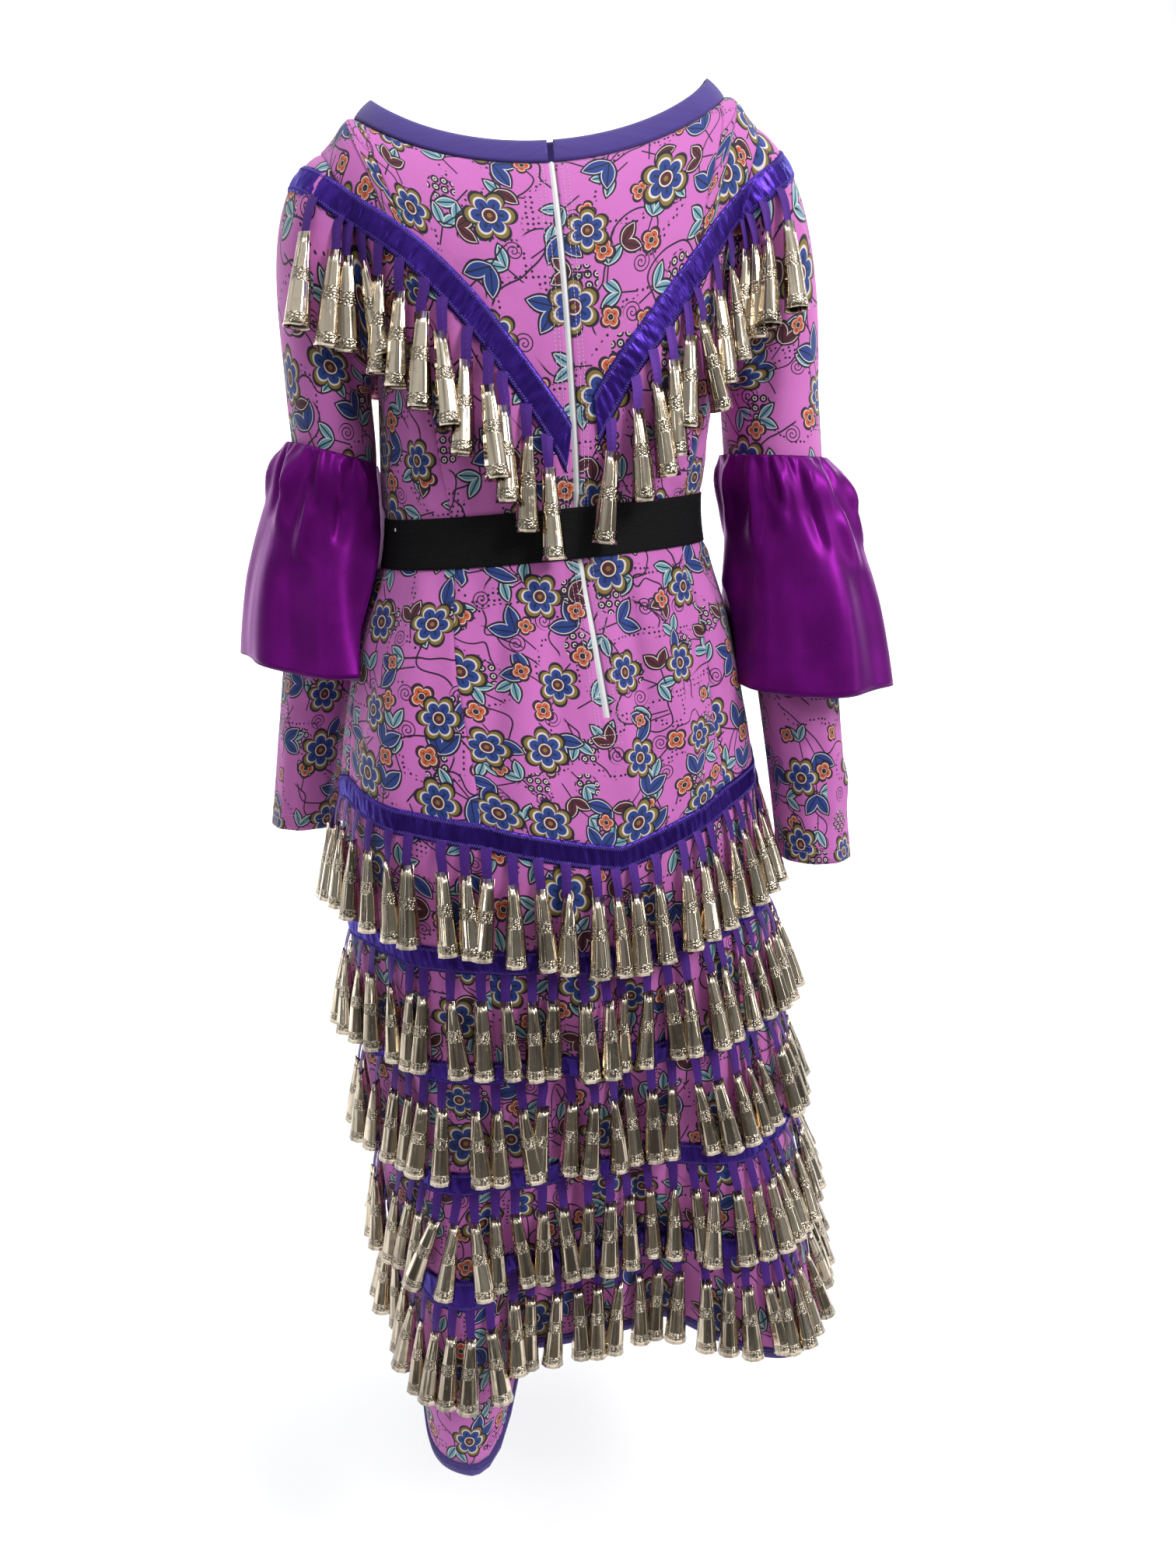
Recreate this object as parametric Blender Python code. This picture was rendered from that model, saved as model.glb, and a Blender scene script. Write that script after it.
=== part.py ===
"""A jingle dress, worn shape and hollow, in metres with +Z up and the front facing -Y.

The origin is at neck level on the body's axis. Each cut and sewn piece is one closed wall.
The body is a loft of superellipse sections. The bodice rises from the underarm row to the
neckline and the shoulder ridge. Sleeves, flounces, trims and jingle rows are built on those points.
"""

import bpy
import numpy as np
from mathutils import Vector
from mathutils.bvhtree import BVHTree

# ---------------------------------------------------------------- named sizes
CLOTH = 0.0015
NECK_CELLS = 9
TRIM = 0.0012
BAND = 0.0020
SEAM_GAP = 0.00016
LAY_GAP = 0.0004
Z_UNDERARM = -0.235
Z_ZIP_END = -0.540
Z_HEM = -1.192
HEM_BAND = 0.024
NECK_BAND = 0.021
ZIP_HALF = 0.0027
NECK_HALF = 0.165
NECK_DROP = {"front": 0.060, "back": 0.036}
SHOULDER_HALF = 0.198
SHOULDER_DROP = 0.026
RIDGE_Z = -0.008
RIBBON = 0.025
BELT_HIGH = 0.045
Z_BELT = -0.375
HANGER = 0.024
CONE = 0.072
CONE_BOTTOM = 0.0168
CONE_OUT = 0.0126
PITCH_FRONT = 0.0275
PITCH_BACK = 0.0500
PITCH_YOKE = 0.0180
PITCH_YOKE_BACK = 0.0360
FRONT_CELLS = 14
SIDE_CELLS = 6
BACK_CELLS = 18

# z, half width, front depth, back depth, centre x, turn in degrees, princess seam fraction, tilt
SECTIONS = np.array([
    (-0.235, 0.160, 0.124, 0.115, 0.000, -5.0, 0.74, 0.065),
    (-0.300, 0.156, 0.119, 0.106, 0.000, -2.0, 0.73, 0.060),
    (-0.375, 0.153, 0.110, 0.095, 0.000, 0.0, 0.70, 0.055),
    (-0.480, 0.184, 0.125, 0.120, 0.000, 5.0, 0.66, 0.030),
    (-0.600, 0.208, 0.142, 0.140, 0.001, 9.0, 0.60, 0.000),
    (-0.780, 0.214, 0.137, 0.150, 0.010, 9.0, 0.60, 0.000),
    (-1.000, 0.214, 0.118, 0.152, 0.026, 9.0, 0.60, 0.000),
    (-1.240, 0.220, 0.112, 0.150, 0.044, 9.0, 0.60, 0.000),
])
EXPONENT = 2.3

# polar angle from the front in degrees, half widths before and after it,
# top z, depth at the hem, hem drop, power
FLUTES = np.array([
    (-55.0, 34.0, 7.5, -0.950, 0.045, 0.091, 1.10),
    (54.0, 40.0, 40.0, -0.610, 0.082, 0.050, 1.30),
    (100.0, 34.0, 34.0, -0.720, 0.035, 0.004, 1.10),
    (152.0, 30.0, 30.0, -0.680, 0.060, 0.010, 1.10),
    (-148.0, 32.0, 32.0, -0.700, 0.065, 0.008, 1.10),
    (-98.0, 26.0, 26.0, -0.760, 0.020, 0.000, 1.10),
])

# height of each row at the centre front, and how far it rises to the side
ROWS = np.array([
    (-0.235, 0.0),
    (-0.295, 0.0),
    (Z_BELT + BELT_HIGH / 2, 0.0),
    (Z_BELT - BELT_HIGH / 2, 0.0),
    (-0.455, 0.0),
    (Z_ZIP_END, 0.018),
    (-0.661, 0.066),
    (-0.686, 0.066),
    (-0.764, 0.028),
    (-0.789, 0.028),
    (-0.874, 0.010),
    (-0.899, 0.010),
    (-0.993, 0.000),
    (-1.018, 0.000),
    (-1.094, 0.000),
    (-1.119, 0.000),
    (Z_HEM, 0.000),
    (Z_HEM - HEM_BAND, 0.000),
])
ZIP_ROW = 5
RIBBON_ROWS = (6, 8, 10, 12, 14)
RISE = np.array([0.0, 0.17, 0.34, 0.50, 0.66, 0.83, 1.0])

# side, then rings: z, centre x, centre y, half width, half depth
ARMS = {
    "R": np.array([
        (-0.252, -0.2035, 0.028, 0.0385, 0.060),
        (-0.305, -0.2020, 0.030, 0.0385, 0.057),
        (-0.400, -0.2130, 0.050, 0.0385, 0.051),
        (-0.500, -0.2270, 0.076, 0.0375, 0.046),
        (-0.600, -0.2420, 0.101, 0.0370, 0.042),
        (-0.682, -0.2540, 0.121, 0.0370, 0.040),
    ]),
    "L": np.array([
        (-0.252, 0.2150, -0.022, 0.0450, 0.060),
        (-0.315, 0.2180, -0.028, 0.0455, 0.058),
        (-0.410, 0.2290, -0.034, 0.0430, 0.052),
        (-0.510, 0.2400, -0.041, 0.0405, 0.047),
        (-0.615, 0.2510, -0.049, 0.0385, 0.043),
        (-0.720, 0.2610, -0.056, 0.0375, 0.040),
    ]),
}
# side: top z, hem z, hem centre x, centre y, half width, half depth
FLOUNCES = {
    "R": (-0.302, -0.500, -0.212, 0.040, 0.084, 0.092),
    "L": (-0.313, -0.535, 0.250, -0.038, 0.084, 0.094),
}
FLOUNCE_WAVES = 8
# yoke trim centreline: x, z from the front end up to the shoulder
YOKE = {
    "R": np.array([
        (-0.0130, -0.303), (-0.025, -0.281), (-0.048, -0.249), (-0.073, -0.213),
        (-0.097, -0.180), (-0.120, -0.154), (-0.144, -0.131), (-0.184, -0.100),
    ]),
    "L": np.array([
        (0.0115, -0.280), (0.036, -0.239), (0.072, -0.197), (0.108, -0.155),
        (0.131, -0.127), (0.169, -0.090), (0.195, -0.074),
    ]),
}
YOKE_TOP = {"R": (-0.216, 0.034, -0.070), "L": (0.224, -0.024, -0.050)}
YOKE_CUT = 0.0170

COLOURS = {
    "print": (0.56, 0.11, 0.49, 1.0),
    "binding": (0.13, 0.07, 0.42, 1.0),
    "trim": (0.10, 0.03, 0.42, 1.0),
    "flounce": (0.27, 0.02, 0.36, 1.0),
    "belt": (0.010, 0.010, 0.011, 1.0),
    "zip": (0.83, 0.83, 0.84, 1.0),
    "cone": (0.62, 0.57, 0.50, 1.0),
    "pearl": (0.88, 0.86, 0.82, 1.0),
}


# ---------------------------------------------------------------- the surface
def smooth(x, xs, ys):
    """A cubic through the table's points, with the mean of the neighbouring slopes at each."""
    slope = np.gradient(ys, xs)
    i = np.clip(np.searchsorted(xs, x) - 1, 0, len(xs) - 2)
    h = xs[i + 1] - xs[i]
    t = np.clip((x - xs[i]) / h, 0.0, 1.0)
    a = ys[i] * (1 + 2 * t) * (1 - t) ** 2 + ys[i + 1] * t * t * (3 - 2 * t)
    return a + h * (slope[i] * t * (1 - t) ** 2 + slope[i + 1] * t * t * (t - 1))


def column(index, z):
    return smooth(-z, -SECTIONS[:, 0], SECTIONS[:, index])


def signed_power(value, power):
    return np.sign(value) * np.abs(value) ** power


def place(x, y, z, width_z):
    """Turns, shifts and tilts points of the plain section at the height width_z."""
    turn = np.radians(column(5, width_z))
    turned_x = x * np.cos(turn) - y * np.sin(turn) + column(4, width_z)
    turned_y = x * np.sin(turn) + y * np.cos(turn)
    return np.stack([turned_x, turned_y, z + column(7, width_z) * turned_x], axis=-1)


def flutes(points, z):
    """Pushes the skirt out along the folds that widen to the hem."""
    cx = column(4, z)
    dx = points[..., 0] - cx
    dy = points[..., 1]
    angle = np.degrees(np.arctan2(dx, -dy))
    radius = np.hypot(dx, dy)
    out = np.zeros_like(radius)
    drop = np.zeros_like(radius)
    for middle, before, after, top, depth, fall, power in FLUTES:
        gap = (angle - middle + 180) % 360 - 180
        gap = np.abs(gap) / np.where(gap < 0, before, after)
        share = np.where(gap < 1, np.cos(np.pi / 2 * np.minimum(gap, 1)) ** 2, 0.0)
        down = np.clip((top - z) / (top - Z_HEM), 0.0, 1.2) ** power
        out += depth * share * down
        drop += fall * share * down ** 3
    k = 1 + out / radius
    return np.stack([cx + dx * k, dy * k, points[..., 2] - drop], axis=-1)


def skin(theta, z):
    """A point of the body below the underarm: theta is 0 at the front and +90 at the wearer's left."""
    depth = np.where(np.cos(theta) > 0, column(2, z), column(3, z))
    x = column(1, z) * signed_power(np.sin(theta), 2 / EXPONENT)
    y = -depth * signed_power(np.cos(theta), 2 / EXPONENT)
    return flutes(place(x, y, z, z), z)


def theta_of(k, face, z):
    """The angle of column k, counted from the centre: the front's cells open out at the princess seam."""
    if face == "back":
        return np.pi - np.radians(90.0) * k / (BACK_CELLS / 2)
    inner = FRONT_CELLS / 2
    seam = np.arcsin(column(6, z) ** (EXPONENT / 2))
    outer = seam + (np.pi / 2 - seam) * (np.abs(k) - inner) / (SIDE_CELLS)
    return np.sign(k) * np.where(np.abs(k) <= inner, seam * np.abs(k) / inner, outer)


def lower_rows(columns, face):
    rows = []
    for z_middle, rise in ROWS:
        k_share = np.abs(columns) / (FRONT_CELLS / 2 + SIDE_CELLS if face == "front" else BACK_CELLS / 2)
        z = z_middle + rise * k_share ** 0.95
        theta = theta_of(columns, face, z)
        rows.append(skin(theta, z))
    return np.array(rows)


def upper_rows(columns, face):
    """The bodice from the shoulder or neckline down to the underarm row."""
    z0 = Z_UNDERARM
    theta = theta_of(columns, face, z0)
    s_low = signed_power(np.sin(theta), 2 / EXPONENT)
    corner = NECK_CELLS if face == "front" else BACK_CELLS / 2 - 2
    last = FRONT_CELLS / 2 + SIDE_CELLS if face == "front" else BACK_CELLS / 2
    size = np.abs(columns)
    bump = 0.048 * np.sign(columns) * np.exp(-((size - corner) / (0.16 * last)) ** 2)
    s_corner = NECK_HALF / SHOULDER_HALF
    psi = np.pi / 2 * np.minimum(size / corner, 1.0)
    s_neck = s_corner * np.sin(psi)
    s_out = s_corner + (1 - s_corner) * (size - corner) / (last - corner)
    s_top = np.sign(columns) * np.where(size <= corner, s_neck, s_out)
    top_x = s_top * SHOULDER_HALF
    beyond = np.clip((np.abs(top_x) - NECK_HALF) / (SHOULDER_HALF - NECK_HALF), 0, 1)
    ridge = RIDGE_Z - SHOULDER_DROP * beyond
    drop = NECK_DROP[face] * np.clip(np.cos(psi), 0, 1) ** 1.5
    reach = np.arcsin(np.clip((ridge - drop - z0) / (ridge - z0), 0, 1))
    reach = np.where(size >= corner, np.pi / 2, reach)
    depth = float(column(2 if face == "front" else 3, np.array([z0]))[0])
    rows = []
    for t in RISE[::-1]:
        a = reach * t
        edge = np.interp(t, RISE, [0.160, 0.156, 0.162, 0.174, 0.185, 0.193, SHOULDER_HALF])
        s = s_low + (s_top - s_low) * t ** 1.2 + bump * np.sin(np.pi * t ** 3)
        level = depth * np.cos(a) ** 1.2
        lip = 0.057 * np.sin(2 * np.minimum(a, np.pi / 2)) ** 0.8
        lip = np.minimum(lip, level)
        round_off = (1 - np.minimum(np.abs(s), 1) ** EXPONENT) ** (1 / EXPONENT)
        y = lip + (level - lip) * round_off
        y = -y if face == "front" else y
        z = z0 + (ridge - z0) * np.sin(a)
        turn_z = np.full(len(columns), z0)
        p = place(s * edge, y, z, turn_z)
        more = np.radians(-3.0) * t
        x1 = p[:, 0] * np.cos(more) - p[:, 1] * np.sin(more)
        y1 = p[:, 0] * np.sin(more) + p[:, 1] * np.cos(more)
        rows.append(np.stack([x1, y1, p[:, 2]], axis=-1))
    return np.array(rows)


def body_grid(face):
    half = (FRONT_CELLS // 2 + SIDE_CELLS) if face == "front" else BACK_CELLS // 2
    columns = np.arange(-half, half + 1).astype(float)
    grid = np.concatenate([upper_rows(columns, face)[:-1], lower_rows(columns, face)])
    return grid


# ---------------------------------------------------------------- walls
def vertex_normals(grids, closed):
    """Mean face normals of grids that share points, welded where the points are the same."""
    offset = 0
    points = []
    faces = []
    for grid, ring in zip(grids, closed):
        n, m = grid.shape[:2]
        index = offset + np.arange(n * m).reshape(n, m)
        if ring:
            index = np.concatenate([index, index[:, :1]], axis=1)
        quads = np.stack([index[:-1, :-1], index[1:, :-1], index[1:, 1:], index[:-1, 1:]], axis=-1)
        faces.append(quads.reshape(-1, 4))
        points.append(grid.reshape(-1, 3))
        offset += n * m
    points = np.concatenate(points)
    faces = np.concatenate(faces)
    _, same = np.unique(np.round(points, 6), axis=0, return_inverse=True)
    same = same.reshape(-1)
    corner = points[faces]
    normal = np.cross(corner[:, 2] - corner[:, 0], corner[:, 3] - corner[:, 1])
    total = np.zeros((same.max() + 1, 3))
    for k in range(4):
        np.add.at(total, same[faces[:, k]], normal)
    total /= np.maximum(np.linalg.norm(total, axis=1, keepdims=True), 1e-12)
    found = total[same]
    out = []
    start = 0
    for grid in grids:
        n, m = grid.shape[:2]
        out.append(found[start:start + n * m].reshape(n, m, 3))
        start += n * m
    return out


def material(name, kind):
    made = bpy.data.materials.new(name)
    made.use_nodes = True
    shader = made.node_tree.nodes["Principled BSDF"]
    shader.inputs["Base Color"].default_value = COLOURS[kind]
    shader.inputs["Roughness"].default_value = 0.3 if kind in ("cone", "pearl") else 0.7
    shader.inputs["Metallic"].default_value = 1.0 if kind == "cone" else 0.0
    made.diffuse_color = COLOURS[kind]
    return made


def add_mesh(name, points, faces, kind):
    used, index = np.unique(np.concatenate([np.ravel(f) for f in faces]), return_inverse=True)
    lengths = [len(f) for f in faces]
    starts = np.cumsum([0] + lengths)
    new_faces = [tuple(int(i) for i in index[starts[k]:starts[k + 1]]) for k in range(len(faces))]
    mesh = bpy.data.meshes.new(name)
    mesh.from_pydata([tuple(p) for p in np.asarray(points)[used]], [], new_faces)
    mesh.update()
    thing = bpy.data.objects.new(name, mesh)
    thing.data.materials.append(material(name, kind))
    PARTS.objects.link(thing)
    return thing


def wall(name, outer, inner, kind, ring=False, cells=None):
    """A closed wall between two grids. cells marks the quads that exist."""
    n, m = outer.shape[:2]
    index = np.arange(n * m).reshape(n, m)
    if ring:
        index = np.concatenate([index, index[:, :1]], axis=1)
    here = np.ones((n - 1, index.shape[1] - 1), bool) if cells is None else cells
    shift = n * m
    faces = []
    edges = {}
    for i, j in zip(*np.nonzero(here)):
        quad = [int(index[i, j]), int(index[i + 1, j]), int(index[i + 1, j + 1]), int(index[i, j + 1])]
        for trio in ((0, 1, 2), (0, 2, 3)):
            faces.append([quad[c] for c in trio])
            faces.append([quad[c] + shift for c in reversed(trio)])
        for a, b in zip(quad, quad[1:] + quad[:1]):
            if (b, a) in edges:
                del edges[(b, a)]
            else:
                edges[(a, b)] = True
    for a, b in edges:
        faces.append([b, a, a + shift, b + shift])
    points = np.concatenate([outer.reshape(-1, 3), inner.reshape(-1, 3)])
    return add_mesh(name, points, faces, kind)


def trimmed(grid, left=0.0, right=0.0, top=0.0, bottom=0.0):
    """The grid with its outer rows and columns moved in along the surface."""
    out = grid.copy()

    def moved(edge, inside, amount):
        along = np.gradient(edge, axis=0)
        along /= np.linalg.norm(along, axis=-1, keepdims=True)
        way = inside - edge
        way = way - along * np.sum(way * along, axis=-1, keepdims=True)
        return edge + way * (amount / np.linalg.norm(way, axis=-1, keepdims=True))

    if left:
        out[:, 0] = moved(grid[:, 0], grid[:, 1], left)
    if right:
        out[:, -1] = moved(grid[:, -1], grid[:, -2], right)
    if top:
        out[0] = moved(out[0], grid[1], top)
    if bottom:
        out[-1] = moved(out[-1], grid[-2], bottom)
    return out


def cloth(name, grid, normal, kind, thick=CLOTH, lift=0.0, ring=False, cells=None):
    outer = grid + normal * (lift + (thick if lift else 0.0))
    inner = outer - normal * thick
    return wall(name, outer, inner, kind, ring, cells)


# ---------------------------------------------------------------- start
for old in list(bpy.data.objects):
    bpy.data.objects.remove(old, do_unlink=True)
PARTS = bpy.data.collections.new("Jingle_Dress")
bpy.context.scene.collection.children.link(PARTS)

FRONT = body_grid("front")
BACK = body_grid("back")
TOP_ROWS = len(RISE) - 1
HALF_F = FRONT_CELLS // 2 + SIDE_CELLS
HALF_B = BACK_CELLS // 2
# the back's columns run from the wearer's right to left, so they are turned round to face out
BACK = BACK[:, ::-1]


def bicep_ring(row, gamma):
    """A horizontal ring of the sleeve. gamma is 180 on the inner side, 270 at the front and 360 outside."""
    z, cx, cy, a, b = row
    return np.stack([cx + a * np.cos(gamma), cy + b * np.sin(gamma), np.full(len(gamma), z)], axis=-1)


def sleeve_grid(side):
    """Rings from the armhole to the cuff. Column 0 is the underarm, then the front, the tip and the back."""
    front = FRONT[TOP_ROWS::-1, -1 if side == "L" else 0]
    back = BACK[TOP_ROWS::-1, 0 if side == "L" else -1]
    loop = np.concatenate([front, back[-2:0:-1]])
    sign = 1.0 if side == "L" else -1.0
    steps = np.linalg.norm(np.diff(np.concatenate([loop, loop[:1]]), axis=0), axis=1)
    half = len(front) - 1
    share = np.concatenate([[0], np.cumsum(steps)])
    gamma = np.where(
        np.arange(len(loop)) <= half,
        np.pi + np.pi * share[:-1] / share[half],
        2 * np.pi + np.pi * (share[:-1] - share[half]) / (share[-1] - share[half]),
    )
    height = (loop[:, 2] - loop[0, 2]) / (loop[half, 2] - loop[0, 2])
    rows = ARMS[side]
    if sign < 0:
        gamma = np.pi - gamma + 2 * np.pi
    target = bicep_ring(rows[0], gamma)
    beta = np.radians(84 - 56 * height)
    span = np.linalg.norm(target - loop, axis=1, keepdims=True)
    start_way = np.stack([sign * np.cos(beta), np.zeros(len(beta)), -np.sin(beta)], axis=-1)
    end_way = np.array([0.0, 0.0, -1.0])
    low = np.clip(1 - height * 3, 0, 1)[:, None]
    root = loop + low * np.array([sign * 0.0032, 0.0, 0.001])
    grid = []
    for v in (0.0, 0.25, 0.5, 0.75):
        a = (1 + 2 * v) * (1 - v) ** 2
        b = v * v * (3 - 2 * v)
        c = v * (1 - v) ** 2
        d = v * v * (v - 1)
        grid.append(a * root + b * target + span * (c * start_way + d * end_way) * 0.95)
    for row in rows:
        grid.append(bicep_ring(row, gamma))
    return np.array(grid), gamma


SLEEVE = {side: sleeve_grid(side) for side in "RL"}
SLEEVE_GRIDS = {}
for side in "RL":
    grid = SLEEVE[side][0]
    # the wearer's right sleeve is counted the other way round, so that its faces look out
    SLEEVE_GRIDS[side] = grid if side == "L" else grid[:, ::-1]


def beside(grid, column_at, amount):
    """The points of one column moved along their rows by this amount."""
    way = grid[:, column_at + 1] - grid[:, column_at - 1]
    return grid[:, column_at] + way * (amount / np.linalg.norm(way, axis=-1, keepdims=True))


# ---------------------------------------------------------------- neck binding
def neck_band():
    """A band that rises from the neckline and leans in, open at the zip."""
    half = NECK_CELLS
    corner_back = HALF_B - 2
    front = FRONT[0, HALF_F - half:HALF_F + half + 1]
    back = BACK[0, HALF_B - corner_back:HALF_B + corner_back + 1]
    start = beside(FRONT, HALF_F, ZIP_HALF)[0]
    end = beside(FRONT, HALF_F, -ZIP_HALF)[0]
    low = np.concatenate([[start], front[half + 1:], back[1:-1], front[:half], [end]])
    psi_front = np.pi / 2 * np.arange(half + 1) / half
    psi_back = np.pi / 2 * np.arange(corner_back + 1) / corner_back
    psi_behind = [np.pi - psi_back[::-1][1:], np.pi + psi_back[1:-1]]
    psi = np.concatenate([psi_front, *psi_behind, 2 * np.pi - psi_front[::-1]])
    lean = np.radians(44 + 18 * np.abs(np.cos(psi)) ** 1.5)
    turn = np.radians(-8.0)
    in_x, in_y = -np.sin(psi) * np.cos(lean), np.cos(psi) * np.cos(lean)
    way = np.stack([
        in_x * np.cos(turn) - in_y * np.sin(turn),
        in_x * np.sin(turn) + in_y * np.cos(turn),
        np.sin(lean),
    ], axis=-1)
    return np.array([low + way * NECK_BAND, low])


BAND_GRID = neck_band()
SKIN = [FRONT, BACK, SLEEVE_GRIDS["R"], SLEEVE_GRIDS["L"], BAND_GRID]
NORMALS = vertex_normals(SKIN, [False, False, True, True, False])
N_FRONT, N_BACK = NORMALS[0], NORMALS[1]
N_SLEEVE = {"R": NORMALS[2], "L": NORMALS[3]}
N_BAND = NORMALS[4]
N_BAND[1, 0] = N_BAND[1, -1] = N_FRONT[0, HALF_F]


def even_shoulder(normals, columns):
    """Normals along a shoulder seam, from its neck end to its tip, so that both panels share them."""
    share = np.linspace(0, 1, len(columns))[:, None]
    line = normals[0, columns[0]] * (1 - share) + normals[0, columns[-1]] * share
    normals[0, columns] = line / np.linalg.norm(line, axis=1, keepdims=True)


even_shoulder(N_FRONT, np.arange(HALF_F + NECK_CELLS, 2 * HALF_F + 1))
even_shoulder(N_FRONT, np.arange(HALF_F - NECK_CELLS, -1, -1))
even_shoulder(N_BACK, np.array([2, 1, 0]))
even_shoulder(N_BACK, np.array([2 * HALF_B - 2, 2 * HALF_B - 1, 2 * HALF_B]))

# ---------------------------------------------------------------- body panels
ROW_HEM = len(FRONT) - 2
LEFT_SEAM = HALF_F - FRONT_CELLS // 2
RIGHT_SEAM = HALF_F + FRONT_CELLS // 2
ZIP_END = TOP_ROWS + ZIP_ROW


def split_grid(grid, normal, half):
    """The centre front with its middle column made two, one each side of the zip."""
    left = beside(grid, HALF_F, -half)[:, None]
    right = beside(grid, HALF_F, half)[:, None]
    first = slice(LEFT_SEAM, HALF_F)
    last = slice(HALF_F + 1, RIGHT_SEAM + 1)
    middle = normal[:, HALF_F:HALF_F + 1]
    points = np.concatenate([grid[:, first], left, right, grid[:, last]], axis=1)
    normals = np.concatenate([normal[:, first], middle, middle, normal[:, last]], axis=1)
    return points, normals


def gap_sides(grid, **sides):
    return trimmed(grid, **{key: SEAM_GAP * share for key, share in sides.items()})


panel, panel_normal = split_grid(FRONT[:ROW_HEM + 1], N_FRONT[:ROW_HEM + 1], ZIP_HALF)
panel = gap_sides(panel, left=1, right=1, top=1, bottom=1)
cells = np.ones((panel.shape[0] - 1, panel.shape[1] - 1), bool)
cells[:ZIP_END, FRONT_CELLS // 2] = False
cloth("Front_Center", panel, panel_normal, "print", cells=cells)

for side, part in (("R", slice(0, LEFT_SEAM + 1)), ("L", slice(RIGHT_SEAM, None))):
    grid = gap_sides(FRONT[:ROW_HEM + 1, part], left=1, right=1, top=1.5, bottom=1)
    cloth("Front_Side_" + side, grid, N_FRONT[:ROW_HEM + 1, part], "print")

grid = gap_sides(BACK[:ROW_HEM + 1], left=1, right=1, top=1.5, bottom=1)
cloth("Back", grid, N_BACK[:ROW_HEM + 1], "print")

RING = np.concatenate([FRONT[:, :-1], BACK[:, :-1]], axis=1)[TOP_ROWS:]
N_RING = np.concatenate([N_FRONT[:, :-1], N_BACK[:, :-1]], axis=1)[TOP_ROWS:]
hem = gap_sides(RING[-2:], top=1)
cloth("Hem_Binding", hem, N_RING[-2:], "binding", thick=BAND, ring=True)

# ---------------------------------------------------------------- zip
zip_half = ZIP_HALF - 0.0003
zip_grid = np.stack([beside(FRONT, HALF_F, -zip_half), beside(FRONT, HALF_F, zip_half)], axis=1)
zip_grid = zip_grid[:ZIP_END + 1]
zip_normal = np.repeat(N_FRONT[:ZIP_END + 1, HALF_F:HALF_F + 1], 2, axis=1)
zip_grid = trimmed(zip_grid, top=0.0003, bottom=0.0006)
cloth("Zip", zip_grid, zip_normal, "zip", thick=0.0024)


# ---------------------------------------------------------------- neck binding and sleeves
band = trimmed(BAND_GRID, bottom=SEAM_GAP * 2)
cloth("Neck_Binding", band, N_BAND, "binding", thick=BAND)

for side in "RL":
    grid = trimmed(SLEEVE_GRIDS[side], top=SEAM_GAP)
    cloth("Sleeve_" + side, grid, N_SLEEVE[side], "print", ring=True)


# ---------------------------------------------------------------- what lies on the cloth
def tree_of(grids, rings):
    points = []
    faces = []
    for grid, ring in zip(grids, rings):
        n, m = grid.shape[:2]
        start = len(points)
        points.extend(Vector(p) for p in grid.reshape(-1, 3))
        for i in range(n - 1):
            for j in range(m if ring else m - 1):
                k = (j + 1) % m
                upper = start + i * m
                lower = upper + m
                quad = [upper + j, lower + j, lower + k, upper + k]
                faces.append((quad[0], quad[1], quad[2]))
                faces.append((quad[0], quad[2], quad[3]))
    return BVHTree.FromPolygons(points, faces)


BODY_TREE = tree_of([FRONT, BACK], [False, False])
ALL_TREE = tree_of([FRONT, BACK, SLEEVE_GRIDS["R"], SLEEVE_GRIDS["L"]], [False, False, True, True])


def nearest(tree, point):
    spot, normal, _, _ = tree.find_nearest(Vector(point))
    return np.array(spot), np.array(normal)


def ray(tree, start, way):
    spot, normal, _, _ = tree.ray_cast(Vector(start), Vector(way))
    return (None, None) if spot is None else (np.array(spot), np.array(normal))


def settle(grid, normal, lift, need, tree, closed_ring=False, tries=8):
    """Raises the points of a strip until its faces stand clear of the cloth by need."""
    n, m = grid.shape[:2]
    height = np.full((n, m), lift)
    shares = (0.0, 0.5, 1.0)
    far_shares = np.linspace(0, 1, 7)
    for _ in range(tries):
        points = grid + normal * height[..., None]
        more = np.zeros((n, m))
        for i in range(n - 1):
            for j in range(m if closed_ring else m - 1):
                k = (j + 1) % m
                worst = 0.0
                for u in shares:
                    for v in far_shares:
                        a = points[i, j] * (1 - v) + points[i, k] * v
                        b = points[i + 1, j] * (1 - v) + points[i + 1, k] * v
                        spot = a * (1 - u) + b * u
                        hit, out = nearest(tree, spot)
                        worst = max(worst, need - float((spot - hit) @ out))
                if worst > 0:
                    for at in ((i, j), (i, k), (i + 1, j), (i + 1, k)):
                        more[at] = max(more[at], worst)
        if more.max() < 1e-5:
            break
        height += more
    return grid + normal * height[..., None]


# ---------------------------------------------------------------- belt, pin and skirt trims
BELT_ROW = 2
belt_rows = slice(BELT_ROW, BELT_ROW + 2)
belt = RING[belt_rows] + N_RING[belt_rows] * (LAY_GAP + CLOTH)
wall("Belt", belt, belt - N_RING[belt_rows] * CLOTH, "belt", ring=True)

pin_at = int(np.argmin(np.linalg.norm(RING[BELT_ROW, :, :2] - np.array([-0.150, -0.036]), axis=1)))
pin_spot = 0.78 * RING[BELT_ROW, pin_at] + 0.22 * RING[BELT_ROW + 1, pin_at]
pin_spot = pin_spot + N_RING[BELT_ROW, pin_at] * 0.0064
bpy.ops.mesh.primitive_ico_sphere_add(subdivisions=2, radius=0.0038, location=tuple(pin_spot))
pin = bpy.context.object
pin.name = "Belt_Pin"
pin.data.materials.append(material("Belt_Pin", "pearl"))
for holder in list(pin.users_collection):
    holder.objects.unlink(pin)
PARTS.objects.link(pin)

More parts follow.
